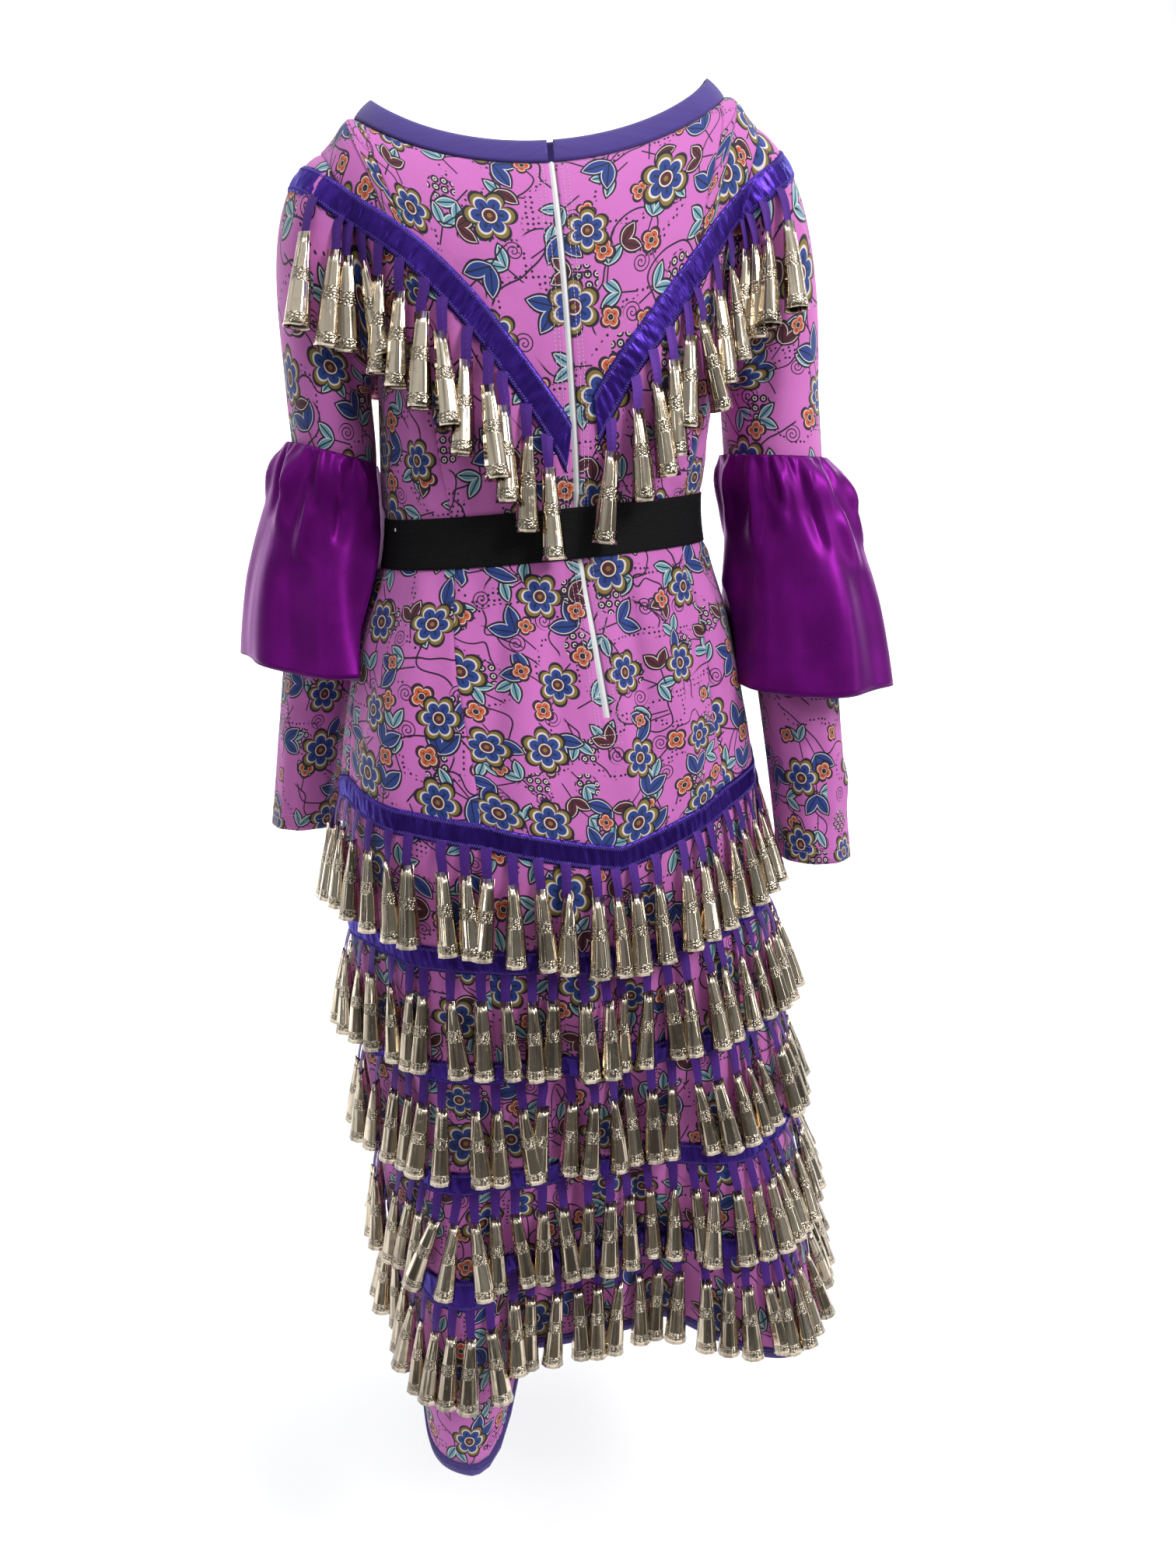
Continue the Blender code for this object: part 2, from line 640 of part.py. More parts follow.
for number, row in enumerate(RIBBON_ROWS, 1):
    rows = slice(row, row + 2)
    outer = RING[rows] + N_RING[rows] * (LAY_GAP + TRIM)
    wall(f"Skirt_Ribbon_{number}", outer, outer - N_RING[rows] * TRIM, "trim", ring=True)


# ---------------------------------------------------------------- flounces
def sleeve_ring_at(side, z):
    rows = ARMS[side]
    return np.array([smooth(np.array([-z]), -rows[:, 0], rows[:, k])[0] for k in range(1, 5)])


def flounce(side):
    """A gathered tube: rings round the sleeve that flare to the hem, kept clear of the body."""
    top, low, hem_x, hem_y, hem_a, hem_b = FLOUNCES[side]
    count = FLOUNCE_WAVES * 4
    gamma = 2 * np.pi * np.arange(count) / count
    rings = []
    for t in (0.0, 0.14, 0.5, 1.0):
        z = top + (low - top) * t
        sx, sy, sa, sb = sleeve_ring_at(side, z)
        share = t ** 0.8
        lay = 0.0020
        cx, cy = sx + (hem_x - sx) * share, sy + (hem_y - sy) * share
        a, b = sa + lay + (hem_a - sa) * share, sb + lay + (hem_b - sb) * share
        beat = 0.5 + 0.5 * np.cos(FLOUNCE_WAVES * gamma + 0.6 * t)
        wave = (0.0012 + 0.0075 * min(1.0, 2.2 * t)) * beat
        x = cx + (a + wave) * np.cos(gamma)
        y = cy + (b + wave) * np.sin(gamma)
        ring = []
        for px, py in zip(x, y):
            axis = float(column(4, np.array([z]))[0])
            way = np.array([px - axis, py, 0.0])
            far = np.linalg.norm(way)
            way /= far
            start = np.array([axis, 0.0, z]) + way * 0.6
            hit, _ = ray(BODY_TREE, start, -way)
            reach = 0.0 if hit is None else 0.6 - np.linalg.norm(start - hit)
            far = max(far, reach + 0.0045)
            ring.append(np.array([axis, 0.0, z]) + way * far)
        rings.append(ring)
    return np.array(rings)


for side in "RL":
    grid = flounce(side)[:, ::-1]
    normal = vertex_normals([grid], [True])[0]
    cloth("Flounce_" + side, grid, normal, "flounce", thick=TRIM, ring=True)


# ---------------------------------------------------------------- yoke trims
def spline(points, count):
    step = np.concatenate([[0], np.cumsum(np.linalg.norm(np.diff(points, axis=0), axis=1))])
    at = np.linspace(0, step[-1], count)
    return np.stack([smooth(at, step, points[:, k]) for k in range(3)], axis=-1)


def yoke_path(side, count=44):
    """The trim's centreline, up the front, over the sleeve cap and down the back, on the cloth."""
    front = []
    back = []
    for x, z in YOKE[side]:
        hit, _ = ray(ALL_TREE, (x, -0.5, z), (0, 1, 0))
        front.append(hit)
        hit, _ = ray(ALL_TREE, (x, 0.5, z), (0, -1, 0))
        back.append(hit)
    top, _ = nearest(ALL_TREE, YOKE_TOP[side])
    rough = spline(np.array(front + [top] + back[::-1]), count)
    return np.array([nearest(ALL_TREE, p)[0] for p in rough])


def evened(values, times=2):
    for _ in range(times):
        middle = (values[:-2] + 2 * values[1:-1] + values[2:]) / 4
        values = np.concatenate([values[:1], middle, values[-1:]])
    return values


def unit(values):
    return values / np.linalg.norm(values, axis=-1, keepdims=True)


YOKE_EDGE = {}
for side in "RL":
    path = evened(yoke_path(side), 3)
    normal = unit(evened(np.array([nearest(ALL_TREE, p)[1] for p in path]), 4))
    along = unit(np.gradient(path, axis=0))
    across = unit(np.cross(normal, along)) * (1.0 if side == "L" else -1.0)
    if across[3, 2] > 0:
        across = -across
    # the two ends are cut upright along the zip, so the lower edge runs on and the upper edge stops short
    ends = np.zeros(len(path))
    ends[:4] = -np.array([1.0, 0.7, 0.4, 0.15])
    ends[-4:] = np.array([0.15, 0.4, 0.7, 1.0])
    rows = []
    for share in (-0.5, 0.0, 0.5):
        slide = along * (ends * YOKE_CUT * 2 * share)[:, None]
        rows.append([nearest(ALL_TREE, p)[0] for p in path + across * RIBBON * share + slide])
    grid = np.array(rows)
    normals = np.repeat(normal[None], 3, axis=0)
    grid = settle(grid, normals, LAY_GAP, 0.00075, ALL_TREE)
    YOKE_EDGE[side] = (grid[2], normal, across)
    facing = np.cross(grid[1, 1] - grid[0, 0], grid[0, 1] - grid[1, 0]) @ normal[0]
    outer = grid + normals * TRIM
    if facing < 0:
        wall("Yoke_Ribbon_" + side, outer[:, ::-1], grid[:, ::-1], "trim")
    else:
        wall("Yoke_Ribbon_" + side, outer, grid, "trim")


# ---------------------------------------------------------------- jingle rows
SHADE_TREE = tree_of([SLEEVE_GRIDS["R"], SLEEVE_GRIDS["L"], flounce("R"), flounce("L")], [True] * 4)
FAR = 0.45


def flat_unit(normal, point):
    """The normal laid level, leaning to the way out from the axis where the cloth is nearly level."""
    radial = unit(np.array([point[0], point[1], 0.0]))
    level = np.array([normal[0], normal[1], 0.0])
    return unit(level + 0.35 * radial)


def front_face(point, way, z, spread):
    """How far out the cloth reaches at this height, across the width of a cone."""
    side = np.array([-way[1], way[0], 0.0])
    reach = None
    for share in (-1.0, 0.0, 1.0):
        base = np.array([point[0], point[1], z]) + side * spread * share
        hit, _ = ray(ALL_TREE, base + way * FAR, -way)
        if hit is not None:
            out = float((hit - base) @ way)
            if out > -0.12:
                reach = out if reach is None else max(reach, out)
    return 0.0 if reach is None else reach


def hang(root, normal):
    """The centre of a hanger's end and of a cone's end below a root, and the way out."""
    way = flat_unit(normal, root)
    z_top = root[2] - HANGER
    z_end = z_top - CONE
    lean = front_face(root, way, z_top, 0.005)
    end = front_face(root, way, z_end, 0.008)
    middle = front_face(root, way, (z_top + z_end) / 2, 0.007)
    top_out = lean + 0.0052
    end_out = end + CONE_OUT
    if middle + 0.0090 > (top_out + end_out) / 2:
        end_out = 2 * (middle + 0.0090) - top_out
    low = np.array([root[0], root[1], z_top]) + way * top_out
    tip = np.array([root[0], root[1], z_end]) + way * end_out
    return low, tip, way


def clear_of_sleeves(low, tip, way):
    side = np.array([-way[1], way[0], 0.0])
    for share in (0.0, 0.5, 1.0):
        middle = low * (1 - share) + tip * share
        half = 0.005 + 0.004 * share
        for a, b in ((0, 0), (1, 1), (1, -1), (-1, 1), (-1, -1)):
            spot = middle + side * half * a + way * half * b
            hit, out = nearest(SHADE_TREE, spot)
            far = np.linalg.norm(spot - hit)
            if far < 0.004 or (spot - hit) @ out < 0 and far < 0.06:
                return False
    return True


def jingle_row(name, edge, normal, down, stations, ring, turns=()):
    """A thin strip under a trim's lower edge whose underside runs on into hangers and cones.

    edge, normal and down are functions of the place along the trim. stations are the strand middles.
    turns are places where the trim bends, at which a wide gap between strands gets a station."""
    marks = []
    for number, q in enumerate(stations):
        step = np.linalg.norm(edge(q + 0.01) - edge(q - 0.01)) / 0.02
        half = 0.0040 / step
        marks.append((q - half, number))
        marks.append((q + half, -1))
    if not ring:
        marks = [(marks[0][0] - half, -1)] + marks + [(marks[-1][0] + half, -1)]
    for q in turns:
        spots = [mark[0] for mark in marks]
        after = int(np.searchsorted(spots, q))
        if after == 0 or after == len(marks) or marks[after - 1][1] >= 0:
            continue
        if min(np.linalg.norm(edge(q) - edge(spots[k])) for k in (after - 1, after)) > 0.007:
            marks.insert(after, (q, -1))
    places = [mark[0] for mark in marks]
    lines = [[edge(q) + down(q) * deep for q in places] for deep in (0.0021, 0.0061)]
    n = np.array([normal(q) for q in places])
    back = settle(np.array(lines), np.array([n, n]), 0.0006, 0.0011, ALL_TREE, closed_ring=ring)
    top = back[0] + n * 0.0005
    low_back = back[1]
    low_front = back[1] + n * 0.0012
    points = [p for trio in zip(top, low_front, low_back) for p in trio]
    count = len(marks)
    faces = []
    for i in range(count if ring else count - 1):
        j = (i + 1) % count
        t, f, b = 3 * i, 3 * i + 1, 3 * i + 2
        t2, f2, b2 = 3 * j, 3 * j + 1, 3 * j + 2
        faces.append([t, f, f2, t2])
        faces.append([t, t2, b2, b])
        if marks[i][1] < 0:
            faces.append([f, b, b2, f2])
            continue
        q = stations[marks[i][1]]
        low, tip, way = hang((points[f] + points[b2]) / 2, normal(q))
        side = points[f2] - points[f]
        side = unit(np.array([side[0], side[1], 0.0]))
        side = unit(side - way * (side @ way))
        rings = [[f, f2, b2, b]]
        for centre, across, thick in ((low, 0.0046, 0.0016), (tip, CONE_BOTTOM / 2, CONE_BOTTOM / 2)):
            start = len(points)
            points.extend([
                centre - side * across + way * thick,
                centre + side * across + way * thick,
                centre + side * across - way * thick,
                centre - side * across - way * thick,
            ])
            rings.append([start, start + 1, start + 2, start + 3])
        for above, below in zip(rings, rings[1:]):
            for k in range(4):
                m = (k + 1) % 4
                faces.append([above[k], below[k], below[m], above[m]])
        faces.append(rings[-1][::-1])
    if not ring:
        faces.append([0, 2, 1])
        faces.append([3 * count - 3, 3 * count - 2, 3 * count - 1])
    return add_mesh(name, np.array(points), faces, "cone")


def spaced(edge, normal, start, stop, pitch, samples, ring=False):
    """Places along the trim at which the cones' ends stand one pitch apart, measured level."""
    at = np.linspace(start, stop, samples)
    ends = np.array([hang(edge(q), normal(q))[1] for q in at])
    step = np.linalg.norm(np.diff(ends[:, :2], axis=0), axis=1)
    length = np.concatenate([[0], np.cumsum(step)])
    count = max(1, int(length[-1] / pitch)) if ring else max(1, int(length[-1] / pitch) + 1)
    if ring:
        marks = (np.arange(count) + 0.5) * length[-1] / count
    else:
        marks = np.linspace(0, length[-1], count)
    return list(np.interp(marks, length, at))


STRANDS = {}
COLUMNS_FRONT = 2 * HALF_F
COLUMNS_BACK = 2 * HALF_B
for number, row in enumerate(RIBBON_ROWS, 1):
    line, below, line_n = RING[row + 1], RING[row + 2], N_RING[row + 1]
    total = len(line)

    def at_column(values, q, total=total):
        i = int(np.floor(q)) % total
        t = q - np.floor(q)
        return values[i] * (1 - t) + values[(i + 1) % total] * t

    def edge(q, line=line):
        return at_column(line, q)

    def normal(q, line_n=line_n):
        return unit(at_column(line_n, q))

    def down(q, line=line, below=below):
        return unit(at_column(below, q) - at_column(line, q))

    front = spaced(edge, normal, 0, COLUMNS_FRONT, PITCH_FRONT, 160, ring=True)
    back = spaced(edge, normal, COLUMNS_FRONT, COLUMNS_FRONT + COLUMNS_BACK, PITCH_BACK, 120, ring=True)
    chosen = []
    for q in front + back:
        low, tip, way = hang(edge(q) + down(q) * 0.0048, normal(q))
        if clear_of_sleeves(low, tip, way):
            chosen.append(q)
    STRANDS[f"Skirt_Jingles_{number}"] = len(chosen)
    turns = [q for q in range(COLUMNS_FRONT + COLUMNS_BACK) if q in (HALF_F, COLUMNS_FRONT + HALF_B)]
    wide = np.diff(chosen + [chosen[0] + total])
    for q, gap in zip(chosen, wide):
        if np.linalg.norm(edge(q) - edge(q + gap)) > 0.062:
            turns.extend(int(c) % total for c in range(int(np.ceil(q)), int(q + gap) + 1))
    jingle_row(f"Skirt_Jingles_{number}", edge, normal, down, chosen, True, sorted(set(turns)))

for side in "RL":
    line, line_n, line_down = YOKE_EDGE[side]
    ahead = np.cross(line[1] - line[0], line_n[0]) @ line_down[0]
    front_first = ahead > 0
    if not front_first:
        line, line_n, line_down = line[::-1], line_n[::-1], line_down[::-1]
    count = len(line)
    places = np.arange(count)

    def along_line(values, q, places=places):
        return np.array([np.interp(q, places, values[:, k]) for k in range(3)])

    def edge(q, line=line):
        return along_line(line, q)

    def normal(q, line_n=line_n):
        return unit(along_line(line_n, q))

    def down(q, line_down=line_down):
        return unit(along_line(line_down, q))

    middle = float(np.argmax(line[:, 2]))
    first = PITCH_YOKE if front_first else PITCH_YOKE_BACK
    second = PITCH_YOKE_BACK if front_first else PITCH_YOKE
    start = 1.5 if side == "R" else 0.9
    chosen = spaced(edge, normal, start, middle, first, 120)
    chosen = chosen[:-1] + spaced(edge, normal, middle, count - 1 - start, second, 120)
    STRANDS["Yoke_Jingles_" + side] = len(chosen)
    jingle_row("Yoke_Jingles_" + side, edge, normal, down, chosen, False)

print("strands", STRANDS, sum(STRANDS.values()))
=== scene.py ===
"""Jingle dress: the finish of every surface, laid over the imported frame.

Each piece is a surface worked out with numpy on the same named sizes as the dress's solids, in metres,
with +Z up and the front facing -Y. The panel "Jingle dress" in the sidebar lists one operator for each group.
"""

import functools

import bmesh
import bpy
import numpy as np
from bpy.props import FloatProperty, FloatVectorProperty, IntProperty, PointerProperty
from mathutils import Matrix, Vector
from mathutils.bvhtree import BVHTree


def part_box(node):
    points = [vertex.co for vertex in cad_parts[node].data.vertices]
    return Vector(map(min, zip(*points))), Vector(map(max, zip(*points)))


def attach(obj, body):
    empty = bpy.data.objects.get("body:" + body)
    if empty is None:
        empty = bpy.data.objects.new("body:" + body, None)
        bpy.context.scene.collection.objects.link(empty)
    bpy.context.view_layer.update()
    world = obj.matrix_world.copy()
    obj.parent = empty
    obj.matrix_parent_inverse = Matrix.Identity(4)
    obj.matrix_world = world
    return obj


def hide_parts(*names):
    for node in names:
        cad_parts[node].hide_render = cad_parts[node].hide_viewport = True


bl_info = {
    "name": "Jingle dress",
    "version": (1, 0, 0),
    "blender": (4, 5, 0),
    "location": "View3D > Sidebar > Jingle dress",
    "description": "Builds the cloth, trims, cones and stage of a jingle dress",
    "category": "Object",
}

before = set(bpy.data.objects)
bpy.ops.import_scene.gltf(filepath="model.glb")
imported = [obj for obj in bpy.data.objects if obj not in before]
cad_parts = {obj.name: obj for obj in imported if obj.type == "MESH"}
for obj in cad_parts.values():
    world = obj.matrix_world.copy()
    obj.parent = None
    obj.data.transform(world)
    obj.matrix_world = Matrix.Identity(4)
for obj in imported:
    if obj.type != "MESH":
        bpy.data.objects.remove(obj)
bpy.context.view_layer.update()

# ---------------------------------------------------------------- named sizes, in metres
UNDERARM = -0.235
HEM = -1.192
NECK_BAND = 0.021
ZIP_HALF = 0.0027
NECK_HALF = 0.165
NECK_DROP = {"front": 0.060, "back": 0.036}
SHOULDER_HALF = 0.198
SHOULDER_DROP = 0.026
RIDGE = -0.008
BELT_MIDDLE = -0.375
BELT_HIGH = 0.045
FRONT_HALF = 13
PRINCESS = 7
NECK_CELLS = 9
BACK_HALF = 9
EXPONENT = 2.3
FULL_TURN = 2 * np.pi
# radius of the tube on which the body's creases are measured
GIRTH = 0.17
# width of a column of the front panel at the centre front
COLUMN_WIDE = 0.028
# width of a column beside the side seams, near enough
SEAM_CELL = 0.030
# distance of the outer topstitch from the middle of the zip, and of the inner one from the outer
ZIP_STITCH = 0.0125
STITCH_GAP = 0.0047
# the print: turns of a curl, cells of the berries and of the dots
CURL_PITCH = 0.0036
BERRY_CELL = 0.0082
DOT_PITCH = 0.0050
# the most that a cone swings to a side, in degrees
MOST_SWING = 17

# z, half width, front depth, back depth, centre x, turn in degrees, princess seam fraction, tilt
SECTIONS = np.array([
    (-0.235, 0.160, 0.124, 0.115, 0.000, -5.0, 0.74, 0.065),
    (-0.300, 0.157, 0.119, 0.106, -0.005, -1.0, 0.73, 0.060),
    (-0.375, 0.154, 0.110, 0.095, -0.009, 2.5, 0.70, 0.055),
    (-0.480, 0.189, 0.125, 0.120, -0.010, 7.5, 0.66, 0.030),
    (-0.600, 0.214, 0.142, 0.140, -0.008, 11.0, 0.60, 0.000),
    (-0.780, 0.221, 0.137, 0.150, 0.002, 10.5, 0.60, 0.000),
    (-1.000, 0.219, 0.118, 0.152, 0.020, 9.5, 0.60, 0.000),
    (-1.240, 0.220, 0.112, 0.150, 0.044, 9.0, 0.60, 0.000),
])

# angle from the front, half widths before and after it, top z, depth at the hem, hem drop, power
FLUTES = np.array([
    (-55.0, 34.0, 7.5, -0.950, 0.045, 0.091, 1.10),
    (54.0, 40.0, 40.0, -0.610, 0.082, 0.050, 1.30),
    (100.0, 34.0, 34.0, -0.720, 0.035, 0.004, 1.10),
    (152.0, 30.0, 30.0, -0.680, 0.060, 0.010, 1.10),
    (-148.0, 32.0, 32.0, -0.700, 0.065, 0.008, 1.10),
    (-98.0, 26.0, 26.0, -0.760, 0.020, 0.000, 1.10),
])

# how round the low end of each fold is: 1 is pointed
BLUNT = (2.6, 1.0, 1.0, 1.0, 1.0, 1.0)

# height of each row at the centre front, and how far it rises to the side seam
ROWS = np.array([
    (-0.235, 0.0), (-0.295, 0.0), (-0.3525, 0.0), (-0.3975, 0.0), (-0.455, 0.0), (-0.540, 0.018),
    (-0.661, 0.066), (-0.686, 0.066), (-0.764, 0.028), (-0.789, 0.028), (-0.874, 0.010), (-0.899, 0.010),
    (-0.993, 0.0), (-1.018, 0.0), (-1.094, 0.0), (-1.119, 0.0), (-1.192, 0.0), (-1.216, 0.0),
])
BELT_ROW = 2
ZIP_ROW = 5
RIBBON_ROWS = (6, 8, 10, 12, 14)
HEM_ROW = 16
HEM_WIDE = 0.0130
RISE = np.array([0.0, 0.17, 0.34, 0.50, 0.66, 0.83, 1.0])
ARMHOLE = np.array([0.160, 0.156, 0.162, 0.174, 0.185, 0.193, 0.198])

# sleeve rings: z, centre x, centre y, half width, half depth
ARMS = {
    "R": np.array([
        (-0.252, -0.2035, 0.028, 0.0385, 0.060), (-0.305, -0.2020, 0.030, 0.0385, 0.057),
        (-0.400, -0.2130, 0.050, 0.0385, 0.051), (-0.500, -0.2270, 0.076, 0.0375, 0.046),
        (-0.600, -0.2420, 0.101, 0.0370, 0.042), (-0.682, -0.2540, 0.121, 0.0370, 0.040),
    ]),
    "L": np.array([
        (-0.252, 0.2150, -0.022, 0.0450, 0.060), (-0.315, 0.2180, -0.028, 0.0455, 0.058),
        (-0.410, 0.2290, -0.034, 0.0430, 0.052), (-0.510, 0.2400, -0.041, 0.0405, 0.047),
        (-0.615, 0.2510, -0.049, 0.0385, 0.043), (-0.720, 0.2610, -0.056, 0.0375, 0.040),
    ]),
}
# top z, hem z, hem centre x, centre y, half width, half depth
FLOUNCES = {
    "R": (-0.302, -0.500, -0.212, 0.040, 0.084, 0.092),
    "L": (-0.313, -0.535, 0.250, -0.038, 0.084, 0.094),
}
FLOUNCE_WAVES = 8
FLOUNCE_COLUMNS = 208
# how far the flounce's rings drop towards the outer side
FLOUNCE_SLANT = {"R": 0.012, "L": 0.003}
SHORT_CREASES = 22
# creases of the flounces, short ones first: angle and share of the height at each end, width, height
FLOUNCE_CREASES = np.array([
    (182, 0.00, 172, 0.42, 0.009, 0.0046), (196, 0.02, 203, 0.55, 0.011, -0.0050),
    (212, 0.00, 224, 0.36, 0.008, 0.0042), (226, 0.00, 218, 0.62, 0.012, 0.0060),
    (240, 0.00, 250, 0.44, 0.009, -0.0046), (252, 0.02, 240, 0.80, 0.013, 0.0064),
    (266, 0.00, 277, 0.38, 0.008, 0.0040), (278, 0.00, 270, 0.66, 0.012, -0.0056),
    (292, 0.00, 304, 0.52, 0.010, 0.0054), (306, 0.00, 298, 0.40, 0.009, -0.0042),
    (322, 0.00, 331, 0.70, 0.013, 0.0060), (338, 0.02, 330, 0.42, 0.009, -0.0044),
    (352, 0.00, 360, 0.56, 0.011, 0.0052), (8, 0.00, 2, 0.42, 0.009, -0.0040),
    (24, 0.00, 32, 0.60, 0.011, 0.0052), (42, 0.02, 36, 0.44, 0.010, -0.0044),
    (60, 0.00, 68, 0.62, 0.012, 0.0056), (80, 0.00, 74, 0.40, 0.009, -0.0040),
    (98, 0.00, 106, 0.64, 0.012, 0.0056), (118, 0.00, 112, 0.42, 0.010, -0.0044),
    (136, 0.02, 144, 0.60, 0.012, 0.0054), (154, 0.00, 160, 0.46, 0.010, -0.0044),
    (204, 0.45, 196, 1.05, 0.014, 0.0056), (232, 0.50, 238, 1.05, 0.013, -0.0052),
    (262, 0.42, 256, 1.05, 0.015, 0.0062), (286, 0.50, 290, 1.05, 0.013, -0.0052),
    (312, 0.46, 306, 1.05, 0.014, 0.0056), (344, 0.50, 350, 1.05, 0.014, -0.0050),
])
# yoke trim centreline: x, z from the front end up to the shoulder
YOKE = {
    "R": np.array([
        (-0.0130, -0.303), (-0.025, -0.281), (-0.048, -0.249), (-0.073, -0.213),
        (-0.097, -0.180), (-0.120, -0.154), (-0.144, -0.131), (-0.184, -0.100),
    ]),
    "L": np.array([
        (0.0115, -0.280), (0.036, -0.239), (0.072, -0.197), (0.108, -0.155),
        (0.131, -0.127), (0.169, -0.090), (0.195, -0.074),
    ]),
}
YOKE_TOP = {"R": (-0.216, 0.034, -0.070), "L": (0.224, -0.024, -0.050)}
YOKE_CUT = 0.0170

# creases of the body: angle and z of each end, width, height (below zero for a trough)
CREASES = np.array([
    (-38, -0.30, -46, -0.15, 0.014, -0.0030), (-30, -0.33, -33, -0.18, 0.011, 0.0026),
    (-22, -0.34, -20, -0.24, 0.010, -0.0022), (26, -0.34, 29, -0.22, 0.012, 0.0028),
    (36, -0.33, 44, -0.17, 0.013, -0.0032), (50, -0.34, 60, -0.20, 0.012, 0.0030),
    (-58, -0.34, -66, -0.20, 0.013, 0.0030), (10, -0.34, 9, -0.26, 0.009, 0.0016),
    (-10, -0.34, -9, -0.27, 0.009, 0.0018), (72, -0.31, 78, -0.23, 0.012, -0.0026),
    (150, -0.33, 140, -0.16, 0.016, 0.0034), (-150, -0.33, -141, -0.17, 0.016, 0.0034),
    (165, -0.34, 168, -0.20, 0.012, -0.0026), (-166, -0.34, -170, -0.21, 0.012, -0.0024),
    (118, -0.34, 110, -0.20, 0.014, 0.0030), (-118, -0.34, -112, -0.21, 0.014, 0.0030),
    (-18, -0.42, -24, -0.66, 0.016, 0.0042), (-8, -0.41, -9, -0.60, 0.012, -0.0026),
    (-30, -0.42, -31, -0.62, 0.012, -0.0038), (14, -0.42, 18, -0.64, 0.015, 0.0040),
    (24, -0.41, 30, -0.60, 0.012, -0.0032), (36, -0.42, 46, -0.66, 0.016, 0.0046),
    (52, -0.41, 60, -0.60, 0.013, -0.0036), (66, -0.42, 76, -0.66, 0.016, 0.0044),
    (-52, -0.42, -60, -0.70, 0.017, 0.0048), (-68, -0.42, -76, -0.62, 0.013, -0.0034),
    (4, -0.43, 3, -0.56, 0.010, 0.0020), (95, -0.42, 100, -0.66, 0.017, 0.0044),
    (112, -0.42, 118, -0.60, 0.013, -0.0036), (130, -0.42, 138, -0.70, 0.018, 0.0050),
    (152, -0.42, 156, -0.62, 0.013, -0.0036), (170, -0.42, 172, -0.68, 0.017, 0.0044),
    (-170, -0.42, -168, -0.60, 0.013, -0.0032), (-154, -0.42, -152, -0.70, 0.017, 0.0046),
    (-134, -0.42, -130, -0.62, 0.014, -0.0036), (-114, -0.42, -112, -0.68, 0.017, 0.0046),
    (-92, -0.42, -94, -0.62, 0.014, -0.0032),
    (-6, -0.66, -4, -1.24, 0.020, 0.0056), (8, -0.68, 12, -1.24, 0.018, -0.0060),
    (22, -0.70, 20, -1.24, 0.014, 0.0040), (-20, -0.70, -22, -1.24, 0.013, -0.0070),
    (56, -0.70, 60, -1.24, 0.018, -0.0056), (72, -0.66, 78, -1.24, 0.022, 0.0060),
    (-66, -0.70, -72, -1.24, 0.018, -0.0060), (-82, -0.66, -86, -1.24, 0.022, 0.0060),
    (124, -0.68, 126, -1.24, 0.020, -0.0064), (178, -0.68, 176, -1.24, 0.022, 0.0064),
    (-122, -0.68, -122, -1.24, 0.020, -0.0060), (-172, -0.70, -174, -1.24, 0.014, -0.0040),
])
# creases of the sleeves: ring angle and z of each end, width, height
SLEEVE_CREASES = {
    "R": np.array([
        (232, -0.20, 214, -0.27, 0.010, 0.0026), (250, -0.19, 226, -0.29, 0.011, -0.0026),
        (200, -0.46, 262, -0.50, 0.010, 0.0030), (214, -0.49, 276, -0.535, 0.009, -0.0026),
        (196, -0.53, 250, -0.515, 0.010, 0.0026), (290, -0.55, 350, -0.58, 0.012, 0.0022),
        (210, -0.60, 240, -0.66, 0.011, -0.0020), (30, -0.48, 110, -0.52, 0.012, 0.0024),
        (60, -0.20, 120, -0.27, 0.014, 0.0028), (40, -0.56, 130, -0.60, 0.012, -0.0022),
    ]),
    "L": np.array([
        (230, -0.19, 210, -0.27, 0.011, 0.0028), (255, -0.17, 228, -0.29, 0.011, -0.0028),
        (205, -0.54, 270, -0.57, 0.011, 0.0030), (215, -0.585, 285, -0.60, 0.010, -0.0026),
        (200, -0.63, 260, -0.62, 0.010, 0.0024), (290, -0.60, 345, -0.66, 0.013, 0.0026),
        (30, -0.50, 110, -0.55, 0.013, 0.0024), (60, -0.19, 120, -0.27, 0.014, 0.0028),
        (240, -0.66, 300, -0.69, 0.011, -0.0020), (40, -0.60, 130, -0.63, 0.012, -0.0022),
    ]),
}


def span(name, description, default):
    return FloatProperty(name=name, description=description, default=default, unit="LENGTH")


class DressSizes(bpy.types.PropertyGroup):
    """Sizes that a maker of the dress would change."""

    grid: span("Grid", "Size of a mesh cell on the cloth", 0.006)
    cloth: span("Cloth", "Thickness of the printed cotton", 0.0008)
    satin: span("Satin", "Thickness of the satin", 0.0006)
    ribbon: span("Ribbon", "Width of the satin ribbon", 0.025)
    hanger: span("Hanger", "Length of a hanger that shows", 0.024)
    hanger_wide: span("Hanger width", "Width of a hanger", 0.0102)
    cone: span("Cone", "Length of a skirt cone", 0.077)
    yoke_cone: span("Yoke cone", "Length of a yoke cone", 0.079)
    cone_wide: span("Cone width", "Width of a cone's mouth", 0.0226)
    pitch: span("Pitch", "Distance between skirt cones", 0.0242)
    yoke_pitch: span("Yoke pitch", "Distance between yoke cones", 0.0192)
    sides: IntProperty(name="Sides", description="Flat faces round a cone", default=10, min=6, max=16)


def shade(name, description, default):
    return FloatVectorProperty(name=name, description=description, default=default, size=3, min=0, max=1,
                               subtype="COLOR")


